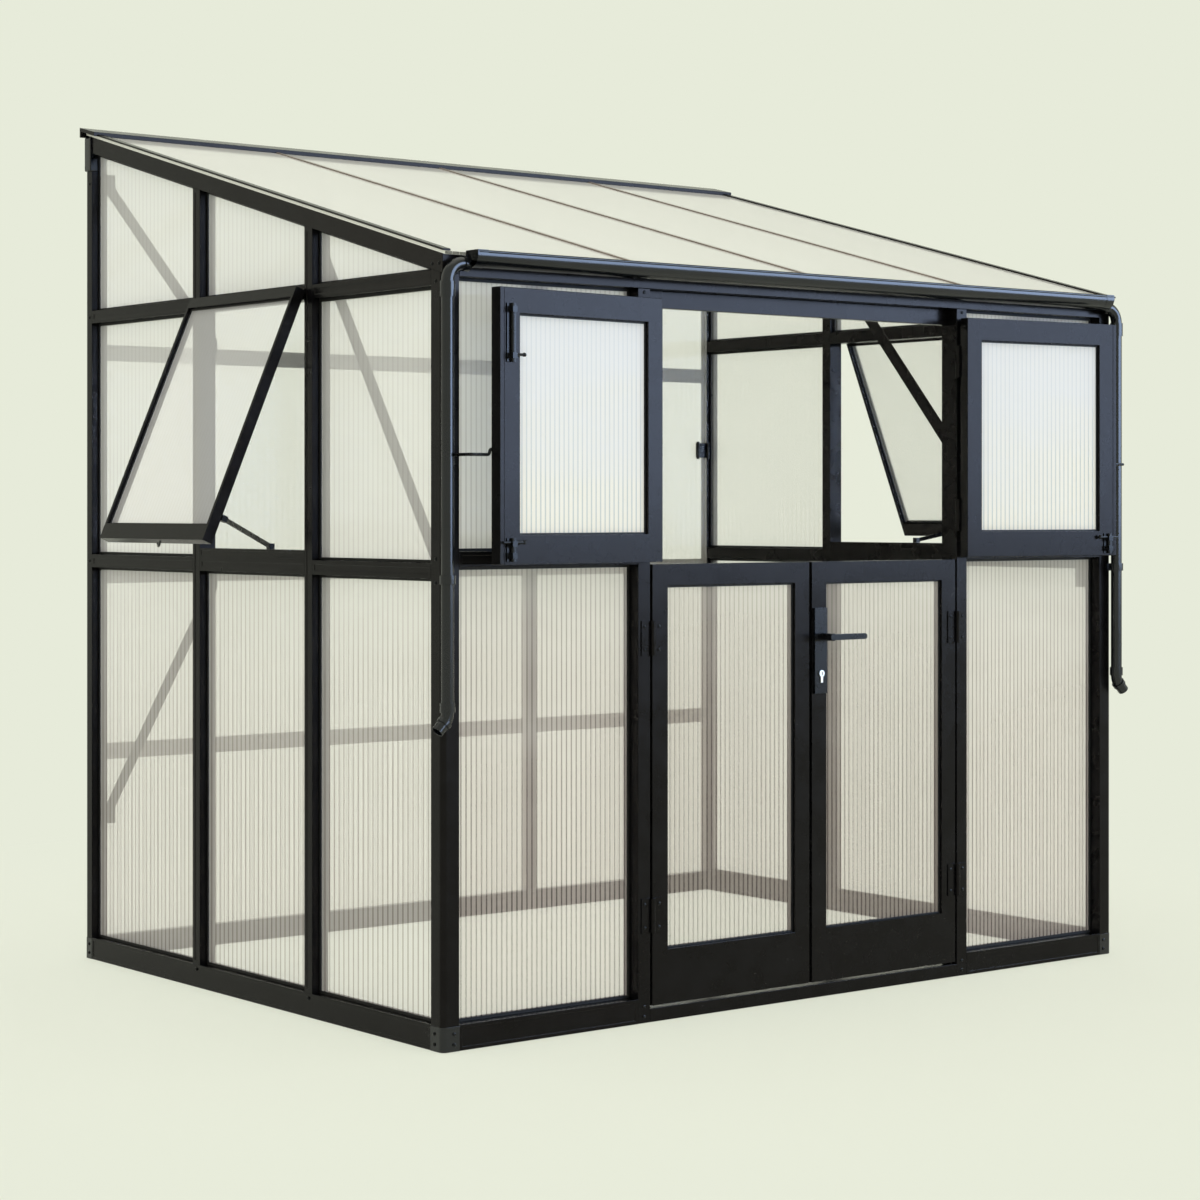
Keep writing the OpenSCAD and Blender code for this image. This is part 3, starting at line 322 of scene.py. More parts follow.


# Twin-wall polycarbonate. The sheet is extruded clear, two thin skins with a web between them at
# an even spacing. To the eye it is a milky clear sheet with a fine grey line at each web. Its tone
# is painted by height: clearer, warmer and greyer low down, a painted shade, and milkier and
# cooler high up, a painted sky sheen.
def sheet_plastic(name, low_veil, high_veil, low_tint, high_tint, rib, span=(0.4, 1.6),
                  line_tint="#C0BABD"):
    plastic, tree = new_finish(name)
    place = add(tree, "ShaderNodeTexCoord")
    height = add(tree, "ShaderNodeSeparateXYZ", None, {0: place.outputs["Object"]})
    # the edge between the painted shade below and the painted sheen above wanders in patches
    # about 600 mm long and 200 mm high
    layers = add(tree, "ShaderNodeMapping", {"Scale": (1.0, 1.0, 3.0)},
                 {"Vector": place.outputs["Object"]})
    cloud = add(tree, "ShaderNodeTexNoise", {"Scale": 1 / 0.6, "Detail": 2.0},
                {"Vector": layers.outputs[0]})
    shade_edge_wander = add(tree, "ShaderNodeMath", {"operation": "MULTIPLY_ADD", 1: 0.6, 2: -0.3},
                {0: cloud.outputs["Fac"]})
    level = add(tree, "ShaderNodeMath", {"operation": "ADD"},
                {0: height.outputs["Z"], 1: shade_edge_wander.outputs[0]})
    shade_to_sheen = add(tree, "ShaderNodeMapRange", {"interpolation_type": "SMOOTHSTEP", "From Min": span[0],
                                            "From Max": span[1]}, {"Value": level.outputs[0]})
    # the line at each web: its place is counted in webs along the sheet's own map
    ribs = add(tree, "ShaderNodeUVMap", {"uv_map": "webs"})
    count = add(tree, "ShaderNodeSeparateXYZ", None, {0: ribs.outputs["UV"]})
    nearest = add(tree, "ShaderNodeMath", {"operation": "ROUND"}, {0: count.outputs["X"]})
    away = add(tree, "ShaderNodeMath", {"operation": "SUBTRACT"},
               {0: count.outputs["X"], 1: nearest.outputs[0]})
    side = add(tree, "ShaderNodeMath", {"operation": "ABSOLUTE"}, {0: away.outputs[0]})
    # a rib stands out most low down, where the light behind the sheet is lower
    depth = add(tree, "ShaderNodeMapRange", {"To Min": rib, "To Max": 0.3 * rib},
                {"Value": shade_to_sheen.outputs[0]})
    line = add(tree, "ShaderNodeMapRange", {"interpolation_type": "SMOOTHSTEP", "From Min": 0.2,
                                            "From Max": 0.08},
               {"Value": side.outputs[0], "To Max": depth.outputs[0]})
    # the sheet is milkier high up, a painted sky sheen
    plain = add(tree, "ShaderNodeMapRange", {"To Min": low_veil, "To Max": high_veil},
                {"Value": shade_to_sheen.outputs[0]})
    veil = add(tree, "ShaderNodeMath", {"operation": "MULTIPLY_ADD", 1: 0.16},
               {0: line.outputs[0], 2: plain.outputs[0]})
    # the tint is warmer and greyer low down, a painted shade, and cooler high up, a painted sky sheen
    tint = add(tree, "ShaderNodeMix", {"data_type": "RGBA", 6: hex_colour(low_tint),
                                       7: hex_colour(high_tint)}, {0: shade_to_sheen.outputs[0]})
    grey = add(tree, "ShaderNodeMix", {"data_type": "RGBA", "blend_type": "MULTIPLY",
                                       7: hex_colour(line_tint)},
               {0: line.outputs[0], 6: tint.outputs[2]})
    front = add(tree, "ShaderNodeBsdfDiffuse", None, {"Color": grey.outputs[2]})
    through = add(tree, "ShaderNodeBsdfTranslucent", None, {"Color": grey.outputs[2]})
    haze = add(tree, "ShaderNodeMixShader", {0: 0.06}, {1: front.outputs[0], 2: through.outputs[0]})
    clear = add(tree, "ShaderNodeBsdfTransparent")
    body = add(tree, "ShaderNodeMixShader", None,
               {0: veil.outputs[0], 1: clear.outputs[0], 2: haze.outputs[0]})
    gloss = add(tree, "ShaderNodeBsdfGlossy", {"Roughness": 0.1})
    # the share mirrored rises with the fifth power towards a flat angle, on both faces alike
    slant = add(tree, "ShaderNodeLayerWeight", {"Blend": 0.5})
    fifth = add(tree, "ShaderNodeMath", {"operation": "POWER", 1: 5.0},
                {0: slant.outputs["Facing"]})
    mirror = add(tree, "ShaderNodeMath", {"operation": "MULTIPLY_ADD", 1: 0.96, 2: 0.005},
                 {0: fifth.outputs[0]})
    whole = add(tree, "ShaderNodeMixShader", None,
                {0: mirror.outputs[0], 1: body.outputs[0], 2: gloss.outputs[0]})
    # the sheets throw only the palest shadow
    path = add(tree, "ShaderNodeLightPath")
    shade = add(tree, "ShaderNodeBsdfTransparent", {"Color": (0.98, 0.98, 0.98, 1.0)})
    surface = add(tree, "ShaderNodeMixShader", None,
                  {0: path.outputs["Is Shadow Ray"], 1: whole.outputs[0], 2: shade.outputs[0]})
    add(tree, "ShaderNodeOutputMaterial", None, {"Surface": surface.outputs[0]})
    return plastic


# the rear sheets are the clearest, the front and door ones greyer, and the roof's and the upper
# doors' a milky white; the skin on the inside of each sheet is cleaner and shows no line. All are
# one plastic: the clearer rear sheets and the greyer front and door sheets with their darker lines
# are lit and shaded copies of it, a painted light and shade
side_skin = sheet_plastic("side_twin_wall_polycarbonate", 0.36, 0.42, "#FFFCF6", "#FFFFFB", 1.0,
                          line_tint="#A69E9E")
far_skin = sheet_plastic("rear_twin_wall_polycarbonate", 0.3, 0.28, "#FFFCF6", "#FFFFFB", 1.0,
                         line_tint="#B3ACAC")
front_skin = sheet_plastic("front_twin_wall_polycarbonate", 0.36, 0.66, "#F6EDE7", "#FEFFFD", 1.0,
                           line_tint="#837C7E")
door_skin = sheet_plastic("door_twin_wall_polycarbonate", 0.34, 0.44, "#DDD4CC", "#E9E6E2", 1.0,
                          line_tint="#837C7E")
roof_skin = sheet_plastic("roof_twin_wall_polycarbonate", 0.88, 0.88, "#F2F3E9", "#F2F3E9", 0.12)
# the upper doors' sheets turn blue-white towards the top and their lines are blue-grey, a painted sky
# reflection
opal_skin = sheet_plastic("opal_twin_wall_polycarbonate", 0.97, 0.97, "#FFFFF8", "#F3F7FF", 1.2,
                          (1.2, 1.8), "#D3DAE2")
inner_skin = sheet_plastic("inner_twin_wall_polycarbonate", 0.08, 0.1, "#F8EFE8", "#FFFFFA", 0.0)

# inside the chambers the plastic is clean and clear
chamber_plastic, tree = new_finish("twin_wall_polycarbonate_chamber")
clear = add(tree, "ShaderNodeBsdfTransparent", {"Color": (0.995, 0.995, 0.995, 1.0)})
add(tree, "ShaderNodeOutputMaterial", None, {"Surface": clear.outputs[0]})


# One sheet of a node's set: where it lies, the way its webs run, and its outline on that plane.
def sheet_places(node):
    cad_copy(node, "sheet_blank")
    bpy.ops.object.mode_set(mode="EDIT")
    bpy.ops.mesh.select_all(action="SELECT")
    bpy.ops.mesh.separate(type="LOOSE")
    bpy.ops.object.mode_set(mode="OBJECT")
    places = []
    for blank in list(bpy.context.selected_objects):
        largest = max(blank.data.polygons, key=lambda face: face.area)
        across = largest.normal.copy()
        up = (Vector((0, 0, 1)) - across * across.z).normalized()
        along = across.cross(up)
        turn = Matrix((along, across, up)).transposed()
        points = [turn.transposed() @ v.co for v in blank.data.vertices]
        places.append((turn, points))
        bpy.data.objects.remove(blank)
    places.sort(key=lambda item: tuple(round(v, 4) for v in (item[0] @ item[1][0])))
    return places


# Like pieces made one by one are joined into the piece that is set on the building.
def join_pieces(made, name):
    bpy.ops.object.select_all(action="DESELECT")
    for piece in made:
        piece.select_set(True)
    bpy.context.view_layer.objects.active = made[0]
    if len(made) > 1:
        bpy.ops.object.join()
    bpy.context.object.name = name
    return bpy.context.object


# The sheet itself is made as the extruder makes it: the section of skins and webs is drawn
# flat, each chamber is opened, and the section is drawn out to the sheet's length.
heart = Vector((0.0, 0.0, 1.0))
half_skin = 0.0005
same_end = 0.0005


def twin_wall(node, name, pitch, skin, body="building"):
    made = []
    for turn, points in sheet_places(node):
        low = Vector([min(p[i] for p in points) for i in range(3)])
        high = Vector([max(p[i] for p in points) for i in range(3)])
        tops = {}
        feet = {}
        for end in (low.x, high.x):
            stack = [p.z for p in points if abs(p.x - end) < same_end]
            tops[end] = max(stack)
            feet[end] = min(stack)
        size = high - low
        cells = max(2, round(size.x / pitch))
        bpy.ops.object.select_all(action="DESELECT")
        bpy.ops.mesh.primitive_grid_add(x_subdivisions=cells, y_subdivisions=1, size=1.0)
        sheet = bpy.context.object
        sheet.scale = (size.x, size.y, 1.0)
        bpy.ops.object.transform_apply(location=True, rotation=True, scale=True)
        bpy.ops.object.mode_set(mode="EDIT")
        bpy.ops.mesh.select_mode(type="FACE")
        bpy.ops.mesh.select_all(action="SELECT")
        bpy.ops.mesh.inset(thickness=half_skin, use_individual=True)
        bpy.ops.mesh.delete(type="FACE")
        bpy.ops.mesh.select_all(action="SELECT")
        bpy.ops.mesh.extrude_region_move(TRANSFORM_OT_translate={"value": (0, 0, 1.0)})
        bpy.ops.mesh.select_all(action="SELECT")
        bpy.ops.mesh.normals_make_consistent(inside=False)
        bpy.ops.object.mode_set(mode="OBJECT")
        for plastic in (skin, inner_skin, chamber_plastic):
            sheet.data.materials.append(plastic)
        middle = turn @ ((low + high) / 2) - heart
        outer = 1.0 if middle.dot(turn.col[1]) > 0 else -1.0
        webs = sheet.data.uv_layers.new(name="webs")
        for face in sheet.data.polygons:
            within = abs(face.center.x) < size.x / 2 and abs(face.center.y) < size.y / 2 - 0.0002
            face.material_index = 2 if within and abs(face.normal.z) < 0.1 else 0
            if face.normal.y * outer < -0.9 and not within:
                face.material_index = 1
            for corner_index in face.loop_indices:
                spot = sheet.data.vertices[sheet.data.loops[corner_index].vertex_index].co
                webs.data[corner_index].uv = ((spot.x / size.x + 0.5) * cells, spot.z)
        for v in sheet.data.vertices:
            share = v.co.x / size.x + 0.5
            ends = tops if v.co.z > 0.5 else feet
            v.co.z = ends[low.x] * (1 - share) + ends[high.x] * share
            v.co.x += (low.x + high.x) / 2
            v.co.y += (low.y + high.y) / 2
        sheet.data.transform(turn.to_4x4())
        made.append(sheet)
    whole = join_pieces(made, name)
    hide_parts(node)
    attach(whole, body)


# Wall, roof, door and window sheets. Each slides into its frame from the end, webs upright on
# the walls and down the slope on the roof. The webs stand further apart at the sides and the roof.
wall_pitch = 0.022
door_pitch = 0.0156
window_pitch = 0.016
twin_wall("front_wall_panels", "front_wall_sheets", door_pitch, front_skin)
twin_wall("left_wall_panels", "left_wall_sheets", wall_pitch, side_skin)
twin_wall("right_wall_panels", "right_wall_sheets", wall_pitch, far_skin)
twin_wall("back_wall_panels", "back_wall_sheets", wall_pitch, far_skin)
twin_wall("roof_panels", "roof_sheets", wall_pitch, roof_skin)
twin_wall("window_panes", "window_sheets", window_pitch, far_skin)
twin_wall("upper_door_panels", "upper_door_sheets", door_pitch, opal_skin)
twin_wall("lower_left_door_panel", "lower_left_door_sheet", door_pitch, door_skin, "lower_left_door")
twin_wall("lower_right_door_panel", "lower_right_door_sheet", door_pitch, door_skin, "lower_right_door")

# EPDM rubber. Extruded black strip, matt and a little dusty in its folds.
rubber, tree = new_finish("epdm_rubber")
place = add(tree, "ShaderNodeTexCoord")
# dust in patches about 40 mm long
dust = add(tree, "ShaderNodeTexNoise", {"Scale": 1 / 0.04, "Detail": 3.0},
           {"Vector": place.outputs["Object"]})
tone = add(tree, "ShaderNodeValToRGB", None, {"Fac": dust.outputs["Fac"]})
tone.color_ramp.elements[0].color = hex_colour("#0B0B0B")
tone.color_ramp.elements[1].color = hex_colour("#1C1B1A")
matt = add(tree, "ShaderNodeBsdfPrincipled", {"Roughness": 0.62, "Specular IOR Level": 0.3},
           {"Base Color": tone.outputs["Color"]})
add(tree, "ShaderNodeOutputMaterial", None, {"Surface": matt.outputs[0]})


# Gaskets. A rubber strip is pressed in round each sheet, on both of its faces, and holds it in the
# frame. Each ring is drawn flat on the sheet's outline, opened in the middle and given its height.
def gaskets(node, name, body="building", width=0.007, proud=0.003):
    rings = []
    for turn, points in sheet_places(node):
        low = Vector([min(p[i] for p in points) for i in range(3)])
        high = Vector([max(p[i] for p in points) for i in range(3)])
        for level, outward_step in ((low.y, -proud), (high.y, proud)):
            bpy.ops.object.select_all(action="DESELECT")
            bpy.ops.mesh.primitive_plane_add(size=1.0)
            ring = bpy.context.object
            for v in ring.data.vertices:
                end = low.x if v.co.x < 0 else high.x
                stack = [p.z for p in points if abs(p.x - end) < same_end]
                v.co = (end, level, min(stack) if v.co.y < 0 else max(stack))
            bpy.ops.object.mode_set(mode="EDIT")
            bpy.ops.mesh.select_mode(type="FACE")
            bpy.ops.mesh.select_all(action="SELECT")
            bpy.ops.mesh.inset(thickness=width)
            bpy.ops.mesh.delete(type="FACE")
            bpy.ops.mesh.select_all(action="SELECT")
            bpy.ops.mesh.extrude_region_move(TRANSFORM_OT_translate={"value": (0, outward_step, 0)})
            bpy.ops.mesh.select_all(action="SELECT")
            bpy.ops.mesh.normals_make_consistent(inside=False)
            bpy.ops.object.mode_set(mode="OBJECT")
            ring.data.transform(turn.to_4x4())
            rings.append(ring)
    return finish_piece(join_pieces(rings, name), rubber, body)


gaskets("front_wall_panels", "front_wall_gaskets")
gaskets("left_wall_panels", "left_wall_gaskets")
gaskets("right_wall_panels", "right_wall_gaskets")
gaskets("window_panes", "window_gaskets", width=0.004)
gaskets("upper_door_panels", "upper_door_gaskets", width=0.004)
gaskets("lower_left_door_panel", "lower_left_door_gasket", "lower_left_door", width=0.004)
gaskets("lower_right_door_panel", "lower_right_door_gasket", "lower_right_door", width=0.004)

# Moulded PVC. The rainwater goods and caps are moulded in black, smoother and glossier than the
# coated frame, with faint flow marks.
pvc, tree = new_finish("moulded_black_pvc")
place = add(tree, "ShaderNodeTexCoord")
# flow marks about 90 mm long, and a fine mould texture drawn at 3 mm, coarser than life, to show
flow = add(tree, "ShaderNodeTexNoise", {"Scale": 1 / 0.09, "Detail": 3.0},
           {"Vector": place.outputs["Object"]})
mould = add(tree, "ShaderNodeTexNoise", {"Scale": 1 / 0.003, "Detail": 1.0},
            {"Vector": place.outputs["Object"]})
tone = add(tree, "ShaderNodeValToRGB", None, {"Fac": flow.outputs["Fac"]})
tone.color_ramp.elements[0].color = hex_colour("#08090B")
tone.color_ramp.elements[1].color = hex_colour("#12151A")
shine = add(tree, "ShaderNodeMapRange", {"To Min": 0.14, "To Max": 0.24},
            {"Value": flow.outputs["Fac"]})
skin = add(tree, "ShaderNodeBump", {"Strength": 0.03, "Distance": 0.0003},
           {"Height": mould.outputs["Fac"]})
gloss = add(tree, "ShaderNodeBsdfPrincipled", {"Specular IOR Level": 0.4, "IOR": 1.53},
            {"Base Color": tone.outputs["Color"], "Roughness": shine.outputs[0],
             "Normal": skin.outputs["Normal"]})
add(tree, "ShaderNodeOutputMaterial", None, {"Surface": gloss.outputs[0]})


# A node whose shape is right: copied, its edges rounded, and given its finish.
def finished_copy(node, name, material, rounding, body="building"):
    piece = cad_copy(node, name)
    round_edges(piece, rounding, sharp=35.0)
    return finish_piece(piece, material, body, node)


# A short length of a node's shape, a little larger all round, as a sleeve or a band over it.
def sleeve(node, name, along, start, stop, proud):
    piece = cad_copy(node, name)
    axis = Vector([1.0 if i == along else 0.0 for i in range(3)])
    bpy.ops.object.mode_set(mode="EDIT")
    for spot, clear_high in ((start, False), (stop, True)):
        bpy.ops.mesh.select_all(action="SELECT")
        bpy.ops.mesh.bisect(plane_co=axis * spot, plane_no=axis, use_fill=True,
                            clear_outer=clear_high, clear_inner=not clear_high)
    bpy.ops.mesh.select_all(action="SELECT")
    bpy.ops.mesh.normals_make_consistent(inside=False)
    bpy.ops.transform.shrink_fatten(value=proud)
    bpy.ops.mesh.select_all(action="DESELECT")
    bpy.ops.object.mode_set(mode="OBJECT")
    round_edges(piece, 0.0008, sharp=35.0)
    return piece


# Gutter and downpipes. A half-round gutter hangs under the eaves with a sleeve over each end and a
# rolled bead along its rim, and a pipe with an elbow runs down beside each front post.
finished_copy("gutter", "gutter_moulded", pvc, 0.001)
gutter_low, gutter_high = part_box("gutter")
sleeve_length = 0.03
sleeve_wall = 0.0014
ends = [sleeve("gutter", "gutter_sleeve", 0, start, start + sleeve_length, sleeve_wall)
        for start in (gutter_low.x, gutter_high.x - sleeve_length)]
finish_piece(join_pieces(ends, "gutter_sleeves"), pvc)
bead_radius = 0.0038
bpy.ops.object.select_all(action="DESELECT")
bpy.ops.mesh.primitive_cylinder_add(
    vertices=20, radius=bead_radius, depth=gutter_high.x - gutter_low.x - 0.004,
    location=(0.0, gutter_low.y + bead_radius / 2, gutter_high.z - bead_radius),
    rotation=(0.0, math.pi / 2, 0.0))
bead = bpy.context.object
bpy.ops.object.transform_apply(location=True, rotation=True, scale=True)
round_edges(bead, 0.0015, sharp=50.0)
bead.name = "gutter_bead"
finish_piece(bead, pvc)
for side in ("left", "right"):
    finished_copy(side + "_downpipe", side + "_downpipe_moulded", pvc, 0.0008)
finished_copy("pipe_clips", "pipe_clips_moulded", pvc, 0.0008)

# Caps and feet. A cap with rounded edges closes each back post at the ridge, and a moulded sleeve
# sits round the foot of each corner post.
finished_copy("back_post_caps", "back_post_caps_moulded", pvc, 0.004)
foot_height = 0.06
foot_wall = 0.0016
feet = [sleeve(posts, "post_foot", 2, 0.0, foot_height, foot_wall)
        for posts in ("front_posts", "back_posts")]
for foot in feet:
    for v in foot.data.vertices:
        v.co.z = max(v.co.z, 0.0)
finish_piece(join_pieces(feet, "post_feet"), pvc)

# Black steel. The fittings are pressed and turned steel with a thin black coat, smoother than the
# frame's powder, so their edges draw a fine bright line.
black_steel, tree = new_finish("black_coated_steel")
place = add(tree, "ShaderNodeTexCoord")
# rubbed patches about 25 mm across
rub = add(tree, "ShaderNodeTexNoise", {"Scale": 1 / 0.025, "Detail": 3.0},
          {"Vector": place.outputs["Object"]})
tone = add(tree, "ShaderNodeValToRGB", None, {"Fac": rub.outputs["Fac"]})
tone.color_ramp.elements[0].color = hex_colour("#070708")
tone.color_ramp.elements[1].color = hex_colour("#131416")
worn = add(tree, "ShaderNodeMapRange", {"To Min": 0.34, "To Max": 0.22},
           {"Value": rub.outputs["Fac"]})
coat = add(tree, "ShaderNodeBsdfPrincipled", {"Specular IOR Level": 0.22, "IOR": 1.5},
           {"Base Color": tone.outputs["Color"], "Roughness": worn.outputs[0]})
add(tree, "ShaderNodeOutputMaterial", None, {"Surface": coat.outputs[0]})

# Hinges. Butt hinges with three knuckles, two to each leaf, coated with the frame; the halves on
# the lower leaves swing with them.
hinge_edge = 0.0007
for node, body in (("jamb_hinges", "building"), ("upper_door_hinges", "building"),
                   ("lower_left_hinges", "lower_left_door"),
                   ("lower_right_hinges", "lower_right_door")):
    finished_copy(node, node + "_coated", black_coat, hinge_edge, body)


# A round rod bent along a few points, as a smith bends it, with closed ends.
def bent_rod(name, points, radius):
    bpy.ops.object.select_all(action="DESELECT")
    line = bpy.data.curves.new(name, "CURVE")
    line.dimensions = "3D"
    line.bevel_depth = radius
    line.bevel_resolution = 3
    line.resolution_u = 4
    line.use_fill_caps = True
    run = line.splines.new("NURBS")
    run.points.add(len(points) - 1)
    for spot, made in zip(points, run.points):
        made.co = (*spot, 1.0)
    run.order_u = 3
    run.use_endpoint_u = True
    rod = bpy.data.objects.new(name, line)
    scene.collection.objects.link(rod)
    bpy.context.view_layer.objects.active = rod
    rod.select_set(True)
    bpy.ops.object.convert(target="MESH")
    rod = bpy.context.object
    bpy.ops.object.mode_set(mode="EDIT")
    bpy.ops.mesh.select_all(action="SELECT")
    bpy.ops.mesh.remove_doubles(threshold=merge_gap)
    bpy.ops.mesh.normals_make_consistent(inside=False)
    bpy.ops.object.mode_set(mode="OBJECT")
    return rod


# A turned knob: a ball with a flat seat on its rod's side.
def turned_knob(spot, radius):
    bpy.ops.object.select_all(action="DESELECT")
    bpy.ops.mesh.primitive_uv_sphere_add(segments=14, ring_count=9, radius=radius, location=spot)
    knob = bpy.context.object
    bpy.ops.object.transform_apply(location=True, rotation=True, scale=True)
    bpy.ops.object.mode_set(mode="EDIT")
    bpy.ops.mesh.select_all(action="SELECT")
    bpy.ops.mesh.bisect(plane_co=(spot[0], spot[1], spot[2] - 0.8 * radius), plane_no=(0, 0, 1),
                        use_fill=True, clear_inner=True)
    bpy.ops.object.mode_set(mode="OBJECT")
    return knob


# Bolts. Slide bolts on the upper leaves: a plate, a rod in two guides and a cross pull, with a
# long bolt as well at the top of the left leaf.
finished_copy("door_bolts", "door_bolts_coated", black_steel, 0.0007)
leaf_slant = math.radians(6.0)
rod_x = 1.0823
rod_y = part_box("door_bolts")[0].y + 0.0085
short_bolt_z = 1.241
long_bolt_z = 1.698
pulls = []
for side in (-1.0, 1.0):
    along = Vector((-side * math.cos(leaf_slant), math.sin(leaf_slant), 0.0))
    middle = Vector((side * rod_x, rod_y, short_bolt_z))
    arm = [middle - along * 0.032, middle, middle + along * 0.034]
    pulls.append(bent_rod("bolt_pull", arm, 0.0034))
    pulls.append(turned_knob(middle + along * 0.036, 0.0058))
top = Vector((-rod_x, rod_y, long_bolt_z))
along = Vector((math.cos(leaf_slant), math.sin(leaf_slant), 0.0))
pulls.append(bent_rod("bolt_pull", [top, top + along * 0.017, top + along * 0.034], 0.0036))
pulls.append(turned_knob(top + along * 0.036, 0.0056))
finish_piece(join_pieces(pulls, "bolt_pulls"), black_steel)

# Hooks. A bent rod on each front post catches the edge of the upper leaf and holds it open.
hooks = []
for side in (-1.0, 1.0):
    bends = ((1.185, -0.8552, 1.4545), (1.185, -0.918, 1.4545), (1.185, -0.929, 1.4545),
             (1.176, -0.9292, 1.4545), (1.136, -0.9262, 1.4545), (1.127, -0.926, 1.4548),
             (1.124, -0.9258, 1.4672), (1.116, -0.925, 1.4675), (1.085, -0.9214, 1.4675))
    hooks.append(bent_rod("door_hook", [(side * x, y, z) for x, y, z in bends], 0.0042))
hooks_piece = join_pieces(hooks, "door_hooks_bent")
finish_piece(hooks_piece, black_steel, "building", "door_hooks")

# Lock. A long plate on each face of the right lower leaf, a flat lever through it, and a round
# cylinder of bright steel with a tail, and a thin black block on each face of it for the key slot,
# a painted shade for the keyway.
finished_copy("lock_plates", "lock_plates_coated", black_steel, 0.0015,
              "lower_right_door")
finished_copy("lever_handle", "lever_handle_coated", black_steel, 0.002, "lever")
steel, tree = new_finish("brushed_stainless_steel")
place = add(tree, "ShaderNodeTexCoord")
# brush lines along the turning, drawn 1 mm apart, coarser than life, to show
lay = add(tree, "ShaderNodeMapping", {"Scale": (1.0, 1.0, 8.0)}, {"Vector": place.outputs["Object"]})
brush = add(tree, "ShaderNodeTexNoise", {"Scale": 1 / 0.008, "Detail": 2.0},
            {"Vector": lay.outputs[0]})
streak = add(tree, "ShaderNodeMapRange", {"To Min": 0.2, "To Max": 0.36},
             {"Value": brush.outputs["Fac"]})
bright = add(tree, "ShaderNodeBsdfPrincipled", {"Base Color": hex_colour("#E4E3DF"), "Metallic": 1.0},
             {"Roughness": streak.outputs[0]})
add(tree, "ShaderNodeOutputMaterial", None, {"Surface": bright.outputs[0]})
barrel = cad_copy("lock_cylinder", "lock_cylinder_bright")
round_edges(barrel, 0.0006, sharp=35.0)
core_low, core_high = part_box("lock_cylinder")
core_x = (core_low.x + core_high.x) / 2
core_z = (core_low.z + core_high.z) / 2
tails = []
for face, step in ((core_low.y, 1.0), (core_high.y, -1.0)):
    bpy.ops.object.select_all(action="DESELECT")
    bpy.ops.mesh.primitive_cube_add(
        size=1.0, location=(core_x, face + step * 0.0022, core_low.z - 0.006))
    tail = bpy.context.object
    tail.scale = (0.0085, 0.0036, 0.02)
    bpy.ops.object.transform_apply(location=True, rotation=True, scale=True)
    round_edges(tail, 0.0012, sharp=35.0)
    tails.append(tail)
finish_piece(join_pieces([barrel] + tails, "lock_cylinder_bright"), steel,
             "lower_right_door", "lock_cylinder")
# a thin block of black rubber set just proud of each face of the cylinder is a painted shade for the
# keyway
keyway_shades = []
for face in (core_low.y - 0.0003, core_high.y + 0.0003):
    bpy.ops.object.select_all(action="DESELECT")
    bpy.ops.mesh.primitive_cube_add(size=1.0, location=(core_x, face, core_z))
    keyway_shade = bpy.context.object
    keyway_shade.scale = (0.0026, 0.001, 0.0095)
    bpy.ops.object.transform_apply(location=True, rotation=True, scale=True)
    round_edges(keyway_shade, 0.0004, sharp=35.0)
    keyway_shades.append(keyway_shade)
finish_piece(join_pieces(keyway_shades, "painted_keyway_shade"), rubber, "lower_right_door")

# Stays and fasteners. A flat stay holds each sash open, and a curved fastener hangs from the middle
# of its bottom bar.
finished_copy("window_stays", "window_stays_coated", black_steel, 0.0012)
fasteners = []
for side in ("left", "right"):
    sash_low, sash_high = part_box(side + "_window_sash")
    inward = 1.0 if side == "left" else -1.0
    edge_x = sash_low.x + 0.018 if side == "left" else sash_high.x - 0.018
    middle_y = (sash_low.y + sash_high.y) / 2
    foot = Vector((edge_x, middle_y, sash_low.z + 0.004))
    fasteners.append(bent_rod("casement_fastener", [
        foot + Vector((0.0, -0.026, 0.004)), foot + Vector((inward * 0.004, -0.012, -0.008)),
        foot + Vector((inward * 0.012, 0.006, -0.012)), foot + Vector((inward * 0.02, 0.02, -0.009)),
        foot + Vector((inward * 0.022, 0.03, 0.0))], 0.0036))
    fasteners.append(bent_rod("casement_pivot", [
        foot + Vector((0.0, -0.03, 0.008)), foot + Vector((0.0, -0.02, 0.0)),
        foot + Vector((0.0, -0.008, 0.008))], 0.0045))
finish_piece(join_pieces(fasteners, "casement_fasteners"), black_steel)

# Meeting strips. A square strip as deep as the leaf is set along the free edge of each upper leaf,
# where the two leaves meet when they are shut.
meeting_width = 0.013
bite = 0.0002
for side in ("left", "right"):
    leaf = cad_copy(f"upper_{side}_door_frame", "leaf_blank")
    edge_faces = [f for f in leaf.data.polygons if abs(f.normal.x) > 0.9]
    reach = max(edge_faces, key=lambda face: abs(face.center.x))
    shown = min(leaf.data.polygons, key=lambda face: face.normal.y)
    spots = [leaf.data.vertices[i].co.copy() for i in reach.vertices]
    front_spots = sorted(spots, key=lambda co: co.y)[:2]
    out = reach.normal.copy()
    face_normal = shown.normal.copy()
    base = min(front_spots, key=lambda co: co.z)
    top = max(front_spots, key=lambda co: co.z)
    leaf_depth = max(face_normal.dot(a - b) for a in spots for b in spots)
    bpy.data.objects.remove(leaf)
    bpy.ops.object.select_all(action="DESELECT")
    bpy.ops.mesh.primitive_cube_add(size=1.0)
    strip = bpy.context.object
    for v in strip.data.vertices:
        spot = (base if v.co.z < 0 else top).copy()
        spot += out * (-bite if v.co.x < 0 else meeting_width)
        spot -= face_normal * (0.0 if v.co.y < 0 else leaf_depth)
        v.co = spot
    bpy.ops.object.mode_set(mode="EDIT")
    bpy.ops.mesh.select_all(action="SELECT")
    bpy.ops.mesh.normals_make_consistent(inside=False)
    bpy.ops.object.mode_set(mode="OBJECT")
    round_edges(strip, 0.0012)
    strip.name = f"upper_{side}_meeting_strip"
    finish_piece(strip, black_coat)

